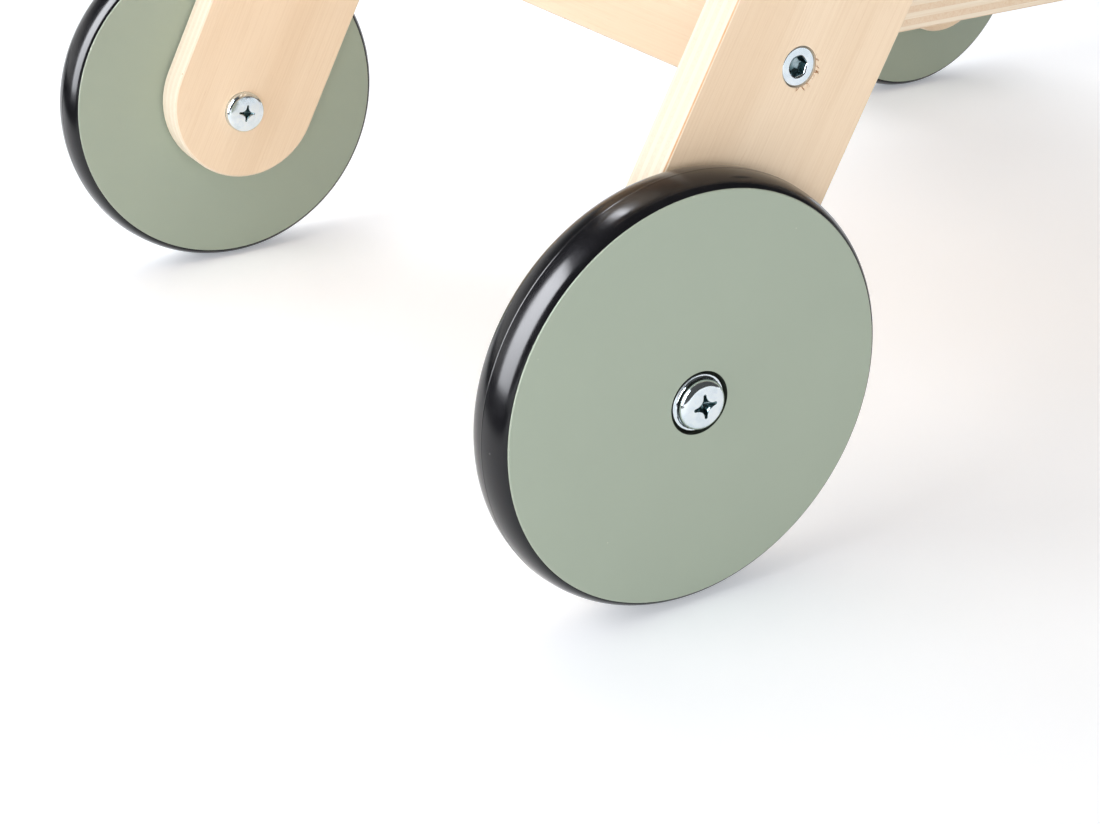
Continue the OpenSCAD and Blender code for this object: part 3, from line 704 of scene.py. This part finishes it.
def cross_outline(arm, half_width, fillet, steps=5):
    """A cross with round tips and wide fillets between its arms, one point list round the full turn"""
    inner = half_width + fillet
    tip = arm - half_width
    shares = [i / steps for i in range(steps)]
    tips = [math.pi / 2 * share for share in shares]
    # From the middle of a tip along one side of its arm, and half of the bend to the next arm
    half = [(tip + half_width * math.cos(a), half_width * math.sin(a)) for a in tips]
    half += [(tip + (inner - tip) * share, half_width) for share in shares]
    half += [(inner - fillet * math.sin(a / 2), inner - fillet * math.cos(a / 2)) for a in tips]
    bend = inner - fillet * math.sqrt(0.5)
    quarter = half + [(bend, bend)] + [(y, x) for x, y in reversed(half[1:])]
    points = []
    for k in range(4):
        c, s = round(math.cos(k * math.pi / 2)), round(math.sin(k * math.pi / 2))
        points += [(x * c - y * s, x * s + y * c) for x, y in quarter]
    return points


def hex_outline(across_flats, steps=8):
    """A regular hexagon with points spread along its sides"""
    reach = across_flats / math.sqrt(3)
    corners = [(reach * math.cos(ROUND * k / 6), reach * math.sin(ROUND * k / 6)) for k in range(6)]
    points = []
    for (x0, y0), (x1, y1) in zip(corners, corners[1:] + corners[:1]):
        points += [(x0 + (x1 - x0) * i / steps, y0 + (y1 - y0) * i / steps) for i in range(steps)]
    return points


class Drive:
    """A screw's recess: its outline, how its walls narrow down to its depth, its turn and a round mouth"""

    def __init__(self, outline, walls, depth, turn, mouth=0.0):
        spin = Matrix.Rotation(turn, 2)
        self.outline = [tuple(spin @ Vector(point)) for point in outline]
        self.walls = [(scale, down * depth) for scale, down in walls]
        self.mouth = mouth


def cross_drive(screw, turn):
    """The cross recess of a screw with these settings"""
    return Drive(cross_outline(screw.arm, screw.web, screw.fillet), CROSS_WALLS, screw.depth, turn)


def driven_screw(bm, profile, height, drive, placing=Matrix()):
    """A turned profile of (radius, height), a crown from its last point up to the height, and a recess"""
    rim_r, rim_z = profile[-1]
    turns = [math.atan2(y, x) for x, y in drive.outline]
    reach = [drive.mouth or RECESS_LIP * math.hypot(x, y) for x, y in drive.outline]
    rings = [[(0, 0, profile[0][1])]]
    rings += [circle(r, z, turns) for r, z in profile]
    for share_in in CROWN_RINGS:
        radii = [rim_r + (r - rim_r) * share_in for r in reach]
        rings.append([
            (r * math.cos(a), r * math.sin(a), height - (height - rim_z) * (r / rim_r) ** 2)
            for r, a in zip(radii, turns)])
    loft(bm, rings, placing)
    walls = [rings[-1]]
    for scale, depth in drive.walls:
        walls.append([(x * scale, y * scale, height - depth) for x, y in drive.outline])
    walls.append([(0, 0, height - RECESS_POINT * drive.walls[-1][1])])
    if drive.mouth:
        loft(bm, walls[:2], placing)
        walls = walls[1:]
    # The recess walls take the second material, the plate darkened with painted shade.
    loft(bm, walls, placing, material=1)


def new_object(name, bm, materials):
    """Turns a mesh under construction into an object of the scene"""
    mesh = bpy.data.meshes.new(name)
    bm.to_mesh(mesh)
    bm.free()
    for material in materials:
        mesh.materials.append(material)
    made = bpy.data.objects.new(name, mesh)
    bpy.context.scene.collection.objects.link(made)
    return made


def new_piece(name, bm, materials, body, replaced, place=None):
    """Turns a mesh under construction into a piece that rides on a body and stands for CAD nodes"""
    bmesh.ops.remove_doubles(bm, verts=bm.verts, dist=1e-7)
    bmesh.ops.recalc_face_normals(bm, faces=bm.faces)
    piece = new_object(name, bm, materials)
    if place is not None:
        piece.matrix_world = place
    weigh_normals(piece)
    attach(piece, body)
    if replaced:
        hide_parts(*replaced)


def weigh_normals(piece):
    """Lets flat faces stay flat beside their rounded edges"""
    modifier = piece.modifiers.new("flat faces", "WEIGHTED_NORMAL")
    modifier.weight = 80
    modifier.keep_sharp = False


def soften(piece, width):
    """Joins a CAD node's faces along their edges, makes each flat one whole and rounds the edges"""
    join = piece.modifiers.new("join faces", "WELD")
    join.merge_threshold = JOIN
    whole = piece.modifiers.new("whole faces", "DECIMATE")
    whole.decimate_type = "DISSOLVE"
    whole.angle_limit = math.radians(0.5)
    rounding = piece.modifiers.new("round edges", "BEVEL")
    rounding.width = width
    rounding.segments = 3
    rounding.loop_slide = False
    rounding.use_clamp_overlap = False
    rounding.limit_method = "ANGLE"
    rounding.angle_limit = math.radians(30)
    weigh_normals(piece)


def dress(node, material, rounding):
    """Gives a CAD node one finish and soft edges"""
    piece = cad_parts[node]
    piece.data.materials.clear()
    piece.data.materials.append(material)
    soften(piece, rounding)


def solids(node):
    """The lowest and highest corners of each separate solid of a CAD node"""
    bm = bmesh.new()
    bm.from_mesh(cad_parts[node].data)
    bmesh.ops.remove_doubles(bm, verts=bm.verts, dist=1e-6)
    left = set(bm.verts)
    boxes = []
    while left:
        walk = [left.pop()]
        points = []
        while walk:
            vertex = walk.pop()
            points.append(vertex.co.copy())
            for edge in vertex.link_edges:
                other = edge.other_vert(vertex)
                if other in left:
                    left.remove(other)
                    walk.append(other)
        boxes.append(tuple(Vector(f(p[i] for p in points) for i in range(3)) for f in (min, max)))
    bm.free()
    return sorted(boxes, key=lambda b: tuple(b[0]))


def facing_out(point, side):
    """Places a piece that is built along +Z so that it points out of the cart's side, +1 left or -1 right"""
    return Matrix.Translation(point) @ Matrix.Rotation(-side * math.pi / 2, 4, "X")


def hub_of(corner):
    """A wheel's centre, and the side that it is on"""
    low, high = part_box(f"{corner}_wheel_disc")
    return (low + high) / 2, SIDES[corner.split("_")[1]]


def leg_grain(leg):
    """The direction from a leg's wheel to one of its screws"""
    kind, side, _ = leg.split("_")
    axle, screws = ("rear", "rear_crossbar_screws") if kind == "rear" else ("front", "handle_bar_screws")
    hub, _ = hub_of(f"{axle}_{side}")
    low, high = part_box(screws)
    run = (low + high) / 2 - hub
    return Vector((run.x, 0, run.z)).normalized()


def broad_normal(node):
    """The direction of a board's thickness: the one that most of its surface faces"""
    areas = {}
    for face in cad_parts[node].data.polygons:
        n = face.normal if max(face.normal, key=abs) > 0 else -face.normal
        key = tuple(round(v, 2) for v in n)
        total, kept = areas.get(key, (0.0, n.copy()))
        areas[key] = (total + face.area, kept)
    return max(areas.values(), key=lambda entry: entry[0])[1]


def board_axes(node, grain):
    """A board's own axes, with X along its grain and Z through its thickness, and that thickness"""
    normal = broad_normal(node)
    along = (Vector(grain) - normal * normal.dot(Vector(grain))).normalized()
    across = normal.cross(along)
    heights = [v.co.dot(normal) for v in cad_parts[node].data.vertices]
    low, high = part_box(node)
    centre = (low + high) / 2
    centre += normal * ((min(heights) + max(heights)) / 2 - centre.dot(normal))
    axes = Matrix((along, across, normal)).transposed().to_4x4()
    axes.translation = centre
    return axes, max(heights) - min(heights)


def halves(*values):
    """Half of each value, in order"""
    return [value / 2 for value in values]


def seat(low, high, height, inward=False):
    """How a screw along Y sits in the cart, from the corners of its box and the height of its head.

    Returns its placing with the head's underside at z = 0, the z of its tip, and its largest radius.
    """
    side = 1 if low.y + high.y > 0 else -1
    inner, outer = sorted((abs(low.y), abs(high.y)))
    base, tip = (inner + height, outer) if inward else (outer - height, inner)
    point = Vector(((low.x + high.x) / 2, side * base, (low.z + high.z) / 2))
    return facing_out(point, -side if inward else side), -abs(tip - base), (high.x - low.x) / 2


def axle_hardware(node, piece, screw, profile, inward=False):
    """Builds one screw with a cross recess at each wheel, in place of a CAD node"""
    drive = cross_drive(screw, screw.turn)
    for corner in CORNERS:
        replaced = f"{corner}_{node}"
        place, tip, head = seat(*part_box(replaced), screw.head_h, inward)
        bm = bmesh.new()
        driven_screw(bm, profile(screw, tip, head), screw.head_h, drive)
        new_piece(f"{corner}_{piece}", bm, zinc_materials(), "frame", [replaced], place)


def socket_hardware(node, piece, screw, profile, drive, inward=False):
    """Builds all screws of one CAD node with the same socket, as one piece"""
    bm = bmesh.new()
    for box in solids(node):
        place, tip, head = seat(*box, screw.head_h, inward)
        driven_screw(bm, profile(screw, tip, head), screw.head_h, drive, place)
    new_piece(piece, bm, zinc_materials(), "frame", [node])


# Operators, one for each kind of piece

class CART_OT_boards(bpy.types.Operator):
    """Finishes the legs, crossbars, shelf and tub panels as plywood"""
    bl_idname = "toy_cart.boards"
    bl_label = "Plywood boards"

    def execute(self, context):
        wood = settings().wood
        grains = {leg: leg_grain(leg) for leg in LEGS} | SQUARE_BOARDS
        for seed, (node, grain) in enumerate(grains.items()):
            axes, thickness = board_axes(node, grain)
            plies_show = wood.leg_plies if node in LEGS else wood.board_plies
            line_shows = LACQUERED.get(node, LACQUER_LINE)
            material = plywood(f"{node} plywood", axes, thickness, seed, plies_show, line_shows)
            dress(node, material, wood.rounding)
        return {"FINISHED"}


class CART_OT_turned_wood(bpy.types.Operator):
    """Finishes the handle bar, spacers and dowels as turned wood"""
    bl_idname = "toy_cart.turned_wood"
    bl_label = "Turned wood"

    def execute(self, context):
        for seed, (node, grain) in enumerate(TURNED_PIECES.items()):
            dress(node, turned_wood(f"{node} wood", grain, seed), 2 * settings().wood.rounding)
        return {"FINISHED"}


class CART_OT_discs(bpy.types.Operator):
    """Builds the painted wheel discs with their rim groove, hub recess and bore"""
    bl_idname = "toy_cart.discs"
    bl_label = "Wheel discs"

    def profile(self, rim, half, bore, seat_z):
        wheel = settings().wheel
        recess = wheel.recess_d / 2
        groove = rim - wheel.groove_depth
        side = wheel.groove_w / 2
        e = wheel.rim_round
        points = [(bore, -half)]
        points += arc((rim - e, e - half), e, -90, 0, 4)
        points += [(rim, -side), (groove, -side), (groove, side), (rim, side)]
        points += arc((rim - e, half - e), e, 0, 90, 4)
        mouth = wheel.mouth_round
        points += arc((recess + mouth, half - mouth), mouth, 90, 180, 4)
        points += [(recess, seat_z + e), (recess - e, seat_z), (bore, seat_z)]
        return points

    def execute(self, context):
        wheel = settings().wheel
        low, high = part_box(f"{CORNERS[0]}_wheel_disc")
        rim, half = halves(high.x - low.x, high.y - low.y)
        low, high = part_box(f"{CORNERS[0]}_hub_bush")
        bore = (high.x - low.x) / 2 + wheel.fit
        seat_z = high.y - low.y - half
        profile = self.profile(rim, half, bore, seat_z)
        paint = sage_paint(rim)
        # The recess's wall and seat take this painted shade.
        dark = shaded_hub_wall()
        inner = wheel.recess_d / 2 + 0.5 * wheel.mouth_round
        turns = even_turns(WHEEL_POINTS)
        for corner in CORNERS:
            hub, side = hub_of(corner)
            bm = bmesh.new()
            for face in loft(bm, [circle(r, z, turns) for r, z in profile], closed=True):
                middle = face.calc_center_median()
                in_recess = middle.xy.length < inner and middle.z > seat_z - wheel.rim_round
                face.material_index = int(in_recess)
            new_piece(f"{corner}_painted_disc", bm, [paint, dark], f"{corner}_wheel",
                      [f"{corner}_wheel_disc"], facing_out(hub, side))
        return {"FINISHED"}


class CART_OT_tyres(bpy.types.Operator):
    """Builds the rubber tyres: a full rounded section with a mould seam, and a rib in the rim groove"""
    bl_idname = "toy_cart.tyres"
    bl_label = "Tyres"

    def profile(self, rim, crown, half):
        wheel = settings().wheel
        flank = crown - wheel.seam_h
        points = []
        for i in range(TYRE_POINTS + 1):
            a = math.pi * (i / TYRE_POINTS - 0.5)
            bulge = math.cos(a) ** wheel.tyre_lean
            points.append((rim + (flank - rim) * bulge, half * math.sin(a)))
        middle = TYRE_POINTS // 2
        seam = wheel.seam_w / 2
        points[middle:middle + 1] = [
            (flank, -2 * seam), (flank, -seam), (crown, -seam / 3),
            (crown, seam / 3), (flank, seam), (flank, 2 * seam)]
        rib = wheel.groove_w / 2 - wheel.fit
        root = rim - wheel.groove_depth + wheel.fit
        lip = rim + wheel.fit
        return points + [(lip, rib), (root, rib), (root, -rib), (lip, -rib)]

    def execute(self, context):
        rubber = black_rubber()
        turns = even_turns(WHEEL_POINTS)
        for corner in CORNERS:
            hub, side = hub_of(corner)
            disc_low, disc_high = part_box(f"{corner}_wheel_disc")
            low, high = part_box(f"{corner}_tyre")
            rim, crown, half = halves(disc_high.z - disc_low.z, high.z - low.z, disc_high.y - disc_low.y)
            half -= settings().wheel.tyre_inset
            bm = bmesh.new()
            loft(bm, [circle(r, z, turns) for r, z in self.profile(rim, crown, half)], closed=True)
            new_piece(f"{corner}_rubber_tyre", bm, [rubber], f"{corner}_wheel",
                      [f"{corner}_tyre"], facing_out(hub, side))
        return {"FINISHED"}


class CART_OT_axle_screws(bpy.types.Operator):
    """Builds the axle screws: a thin flange, a pan-shaped cap and a cross recess"""
    bl_idname = "toy_cart.axle_screws"
    bl_label = "Axle screws"

    def profile(self, screw, tip, flange):
        shank, cap = halves(screw.shank_d, screw.cap_d)
        edge = screw.flange_edge
        lean = 74
        wall = screw.head_h - screw.crown - screw.shoulder * math.sin(math.radians(lean))
        points = [(shank, tip), (shank, 0), (flange, 0)]
        points += arc((flange - edge, screw.flange_t - edge), edge, 0, 90, 5)
        points += [(cap, screw.flange_t), (cap, wall)]
        return points + arc((cap - screw.shoulder, wall), screw.shoulder, 0, lean, 12)

    def execute(self, context):
        axle_hardware("axle_screw", "pan_axle_screw", settings().axle_screw, self.profile)
        return {"FINISHED"}


class CART_OT_axle_sleeves(bpy.types.Operator):
    """Builds the axle sleeves, whose pan heads show on the inside of the legs"""
    bl_idname = "toy_cart.axle_sleeves"
    bl_label = "Axle sleeves"

    def profile(self, sleeve, tip, head):
        tube = sleeve.tube_d / 2
        points = [(tube, tip), (tube, 0), (head, 0), (head, sleeve.wall)]
        return points + arc((head - sleeve.shoulder, sleeve.wall), sleeve.shoulder, 0, 80, 9)

    def execute(self, context):
        axle_hardware("axle_sleeve", "pan_head_sleeve", settings().sleeve, self.profile, inward=True)
        return {"FINISHED"}


class CART_OT_hex_screws(bpy.types.Operator):
    """Builds the hex-socket screws and bolts that sit in the legs"""
    bl_idname = "toy_cart.hex_screws"
    bl_label = "Hex-socket screws"

    def profile(self, screw, tip, head):
        """The head's flat top ends a little outside the socket's mouth"""
        shank = screw.shank_d / 2
        points = [(shank - screw.point, tip), (shank, tip + screw.point), (shank, 0)]
        points += arc((head - screw.foot, screw.foot), screw.foot, -90, 0, 4)
        points += arc((head - screw.edge, screw.head_h - screw.edge), screw.edge, 0, 90, 6)
        return points + [(0.62 * screw.mouth_d, screw.head_h)]

    def execute(self, context):
        screw = settings().hex
        drive = Drive(hex_outline(screw.socket), HEX_WALLS, screw.depth, screw.turn, screw.mouth_d / 2)
        for node in HEX_NODES:
            socket_hardware(node, f"{node}_hex", screw, self.profile, drive)
        return {"FINISHED"}


class CART_OT_sleeve_nuts(bpy.types.Operator):
    """Builds the sleeve nuts with low domed heads on the inside of the tub"""
    bl_idname = "toy_cart.sleeve_nuts"
    bl_label = "Sleeve nuts"

    def profile(self, nut, tip, head):
        """The dome falls from the crown's rim to the head's edge as a parabola"""
        barrel, crown = halves(nut.barrel_d, nut.crown_d)
        start = 2 * nut.edge
        rise = 0.93 * nut.head_h
        points = [(barrel, tip), (barrel, 0)]
        points += arc((head - nut.edge, nut.edge), nut.edge, -60, 40, 5)
        for part in (0.35, 0.7, 1.0):
            points.append((head + (crown - head) * part, rise - (rise - start) * (1 - part) ** 2))
        return points

    def execute(self, context):
        nut = settings().nut
        drive = Drive(hex_outline(nut.socket), HEX_WALLS, nut.depth, nut.turn)
        socket_hardware("tub_sleeve_nuts", "tub_domed_nuts", nut, self.profile, drive, inward=True)
        return {"FINISHED"}


class CART_OT_wood_screws(bpy.types.Operator):
    """Builds the countersunk wood screws that hold the tub's ends"""
    bl_idname = "toy_cart.wood_screws"
    bl_label = "Wood screws"

    def profile(self, screw, tip, head):
        shank, flat = halves(screw.shank_d, screw.flat_d)
        point = 0.1 * shank
        points = [(point, tip), (shank, tip + 2 * shank), (shank, shank - head)]
        return points + [(head, -screw.edge), (head - screw.edge, 0), (flat, 0)]

    def execute(self, context):
        screw = settings().wood_screw
        turn = random.Random(11)
        bm = bmesh.new()
        for box in solids("tub_screws"):
            place, tip, head = seat(*box, 0.0)
            drive = cross_drive(screw, turn.uniform(0, math.pi / 2))
            driven_screw(bm, self.profile(screw, tip, head), 0.0, drive, place)
        new_piece("tub_countersunk_screws", bm, zinc_materials(), "frame", ["tub_screws"])
        return {"FINISHED"}


class CART_OT_washers(bpy.types.Operator):
    """Finishes the washers as zinc plate and the bushes as nylon"""
    bl_idname = "toy_cart.washers"
    bl_label = "Washers and bushes"

    def execute(self, context):
        finishes = {"spacer_washer": zinc_materials()[0], "hub_bush": white_nylon()}
        for node, material in finishes.items():
            for corner in CORNERS:
                dress(f"{corner}_{node}", material, settings().metal.washer_edge)
        return {"FINISHED"}


class CART_OT_torn_fibres(bpy.types.Operator):
    """Adds the short torn fibres along the lower rims of the bolt holes in the legs"""
    bl_idname = "toy_cart.torn_fibres"
    bl_label = "Torn fibres"

    def sliver(self, bm, hole, rim, spread):
        """One curved sliver that starts on the rim of a hole and lies over the face"""
        start = spread.uniform(*FIBRE_START)
        lean = math.radians(start + spread.uniform(*FIBRE_TURN))
        a = math.radians(start)
        up = Vector((0, 0, 1))
        size = settings().wood.sliver_l * spread.uniform(*FIBRE_SIZE)
        base = Vector((rim * math.cos(a), rim * math.sin(a), -0.06 * size))
        run = Vector((math.cos(lean), math.sin(lean), 0)) * size
        side = Vector((-run.y, run.x, 0)) * spread.uniform(*FIBRE_WIDTH)
        lift = size * spread.uniform(*FIBRE_LIFT)
        thick = up * 0.05 * size
        rings = [[base - run * 0.1]]
        for part in (0.0, 0.4, 0.75):
            middle = base + run * part + up * lift * math.sin(part * 2.4)
            width = side * (1 - 0.7 * part)
            rings.append([middle - width, middle + thick, middle + width, middle - thick])
        rings.append([base + run + up * 0.1 * size])
        loft(bm, rings, hole)

    def execute(self, context):
        material = torn_fibre()
        spread = random.Random(5)
        meshes = {leg: bmesh.new() for leg in LEGS}
        for node, kind in HEX_NODES.items():
            for low, high in solids(node):
                side_name = "left" if low.y + high.y > 0 else "right"
                leg = f"{kind}_{side_name}_leg"
                leg_low, leg_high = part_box(leg)
                face = leg_high.y if side_name == "left" else leg_low.y
                centre = (low + high) / 2
                hole = facing_out(Vector((centre.x, face, centre.z)), SIDES[side_name])
                rim = (high.x - low.x) / 2 + settings().hex.gap
                for _ in range(FIBRES):
                    self.sliver(meshes[leg], hole, rim, spread)
        for leg, bm in meshes.items():
            new_piece(f"{leg}_torn_fibres", bm, [material], "frame", [])
        return {"FINISHED"}


class CART_OT_stage(bpy.types.Operator):
    """Sets up the white floor, the soft light and the camera"""
    bl_idname = "toy_cart.stage"
    bl_label = "Stage"

    def seen(self, s, path):
        """1 for the rays that show a surface: camera, glossy and transmission"""
        seen = s.math("MAXIMUM", path["Is Camera Ray"], path["Is Glossy Ray"])
        return s.math("MAXIMUM", seen, path["Is Transmission Ray"])

    def sheet(self, name, size, material):
        """A flat rectangle of the stage, about the origin"""
        bm = bmesh.new()
        bmesh.ops.create_grid(bm, x_segments=1, y_segments=1, size=0.5)
        bmesh.ops.scale(bm, vec=(*size, 1), verts=bm.verts)
        sheet = new_object(name, bm, [material])
        return sheet

    def plain_material(self, name):
        """A material without a shader: its sketch and the socket for its surface"""
        material = bpy.data.materials.new(name)
        material.use_nodes = True
        nodes = material.node_tree.nodes
        nodes.remove(nodes["Principled BSDF"])
        return material, Sketch(material.node_tree), nodes["Material Output"].inputs["Surface"]

    def floor(self):
        """White paper, paler far off, which has a dark patch beyond the table's edge for mirrors only"""
        stage = settings().stage
        material, s, surface = self.plain_material("studio floor")
        path = s.add("LightPath").outputs
        position = s.add("NewGeometry").outputs["Position"]
        x, y, _ = s.split(position)
        edge = stage.table_edge - EDGE_SOFT, stage.table_edge + EDGE_SOFT
        patch = s.times(s.rest(s.ramp(x, *edge)), s.ramp(y, *edge))
        kept = s.rest(s.times(patch, path["Is Glossy Ray"]))
        paper = s.add("BsdfDiffuse", {"Color": s.mix(kept, (0.0, 0.0, 0.0), stage.floor)}).outputs[0]
        far = s.ramp(s.vector("LENGTH", position), *FAR_FLOOR)
        lift = s.between(far, stage.floor_lift, 1.0)
        lift = s.times(s.times(self.seen(s, path), kept), lift)
        glow = s.add("Emission", {"Color": stage.lift_tint, "Strength": lift}).outputs[0]
        s.put(surface, s.add("AddShader", {0: paper, 1: glow}).outputs[0])
        self.sheet("studio_floor", (FLOOR_W, FLOOR_W), material)

    def sky(self):
        """White for the camera, soft light for the cart, and a dim room with a bright backdrop for mirrors"""
        stage = settings().stage
        world = bpy.data.worlds.new("studio")
        world.use_nodes = True
        s = Sketch(world.node_tree)
        background = world.node_tree.nodes["Background"].inputs
        background["Color"].default_value = (1.0, 1.0, 1.0, 1.0)
        path = s.add("LightPath").outputs
        _, y, z = s.split(s.coordinates()["Generated"])
        behind = s.times(s.ramp(y, *BACKDROP_Y), s.rest(s.ramp(z, *BACKDROP_Z)))
        mirrored = s.between(behind, stage.dim, stage.backdrop)
        shown = s.between(path["Is Glossy Ray"], 1.0, mirrored)
        s.put(background["Strength"], s.between(self.seen(s, path), stage.sky, shown))
        bpy.context.scene.world = world

    def aim(self, piece, place, target):
        piece.location = place
        piece.rotation_euler = (Vector(target) - Vector(place)).to_track_quat("-Z", "Y").to_euler()
        piece.visible_camera = False

    def lamp(self, name, place, target, size):
        data = bpy.data.lights.new(name, "AREA")
        data.shape = "RECTANGLE"
        data.size, data.size_y = size
        data.energy = getattr(settings().stage, name)
        lamp = bpy.data.objects.new(name, data)
        lamp.visible_glossy = False
        bpy.context.scene.collection.objects.link(lamp)
        self.aim(lamp, place, target)

    def panel(self, name, place, target, size):
        """The front of a softbox as mirrors show it: brighter towards its upper edge, with soft sides"""
        stage = settings().stage
        material, s, surface = self.plain_material(name)
        across, up, _ = s.split(s.coordinates()["Object"])
        half_w, half_h = halves(*size)
        side = s.math("SUBTRACT", half_w, s.math("ABSOLUTE", across))
        end = s.math("SUBTRACT", half_h, s.math("ABSOLUTE", up))
        soft = s.ramp(s.math("MINIMUM", side, end), 0.0, PANEL_SOFT * half_w)
        rise = s.between(s.ramp(up, -half_h, 0.5 * half_h), PANEL_FOOT, 1.0)
        glow = s.times(s.times(soft, rise), getattr(stage, name))
        s.put(surface, s.add("Emission", {"Color": stage.panel_tint, "Strength": glow}).outputs[0])
        sheet = self.sheet(name, size, material)
        self.aim(sheet, place, target)
        sheet.visible_diffuse = False
        sheet.visible_transmission = False
        sheet.visible_shadow = False

    def camera(self):
        stage = settings().stage
        data = bpy.data.cameras.new("camera")
        data.lens = stage.lens
        data.sensor_width = 36.0
        data.clip_start = 0.01
        camera = bpy.data.objects.new("camera", data)
        camera.location = stage.camera
        camera.rotation_euler = (math.pi / 2 - stage.pitch, 0, -stage.yaw)
        bpy.context.scene.collection.objects.link(camera)
        bpy.context.scene.camera = camera

    def execute(self, context):
        self.floor()
        self.sky()
        for name, where in LAMPS.items():
            self.lamp(name, *where)
        for name, where in PANELS.items():
            self.panel(name, *where)
        self.camera()
        context.scene.view_settings.view_transform = "Standard"
        return {"FINISHED"}


OPERATORS = (
    CART_OT_boards,
    CART_OT_turned_wood,
    CART_OT_discs,
    CART_OT_tyres,
    CART_OT_axle_screws,
    CART_OT_axle_sleeves,
    CART_OT_hex_screws,
    CART_OT_sleeve_nuts,
    CART_OT_wood_screws,
    CART_OT_washers,
    CART_OT_torn_fibres,
    CART_OT_stage,
)


class CART_PT_panel(bpy.types.Panel):
    """Lists the cart's operators in the order in which they run"""
    bl_label = "Toy cart"
    bl_space_type = "VIEW_3D"
    bl_region_type = "UI"
    bl_category = "Toy cart"

    def draw(self, context):
        for operator in OPERATORS:
            self.layout.operator(operator.bl_idname)


SETTINGS = (
    WoodSettings,
    WheelSettings,
    MetalSettings,
    AxleScrewSettings,
    SleeveSettings,
    HexSettings,
    NutSettings,
    WoodScrewSettings,
    StageSettings,
    CartSettings,
)
CLASSES = (*SETTINGS, *OPERATORS, CART_PT_panel)


def register():
    for cls in CLASSES:
        bpy.utils.register_class(cls)
    bpy.types.Scene.toy_cart = PointerProperty(type=CartSettings)


def unregister():
    del bpy.types.Scene.toy_cart
    for cls in reversed(CLASSES):
        bpy.utils.unregister_class(cls)


def main():
    register()
    make_groups()
    for operator in OPERATORS:
        name = operator.bl_idname.split(".")[1]
        getattr(bpy.ops.toy_cart, name)()


if __name__ == "__main__":
    main()
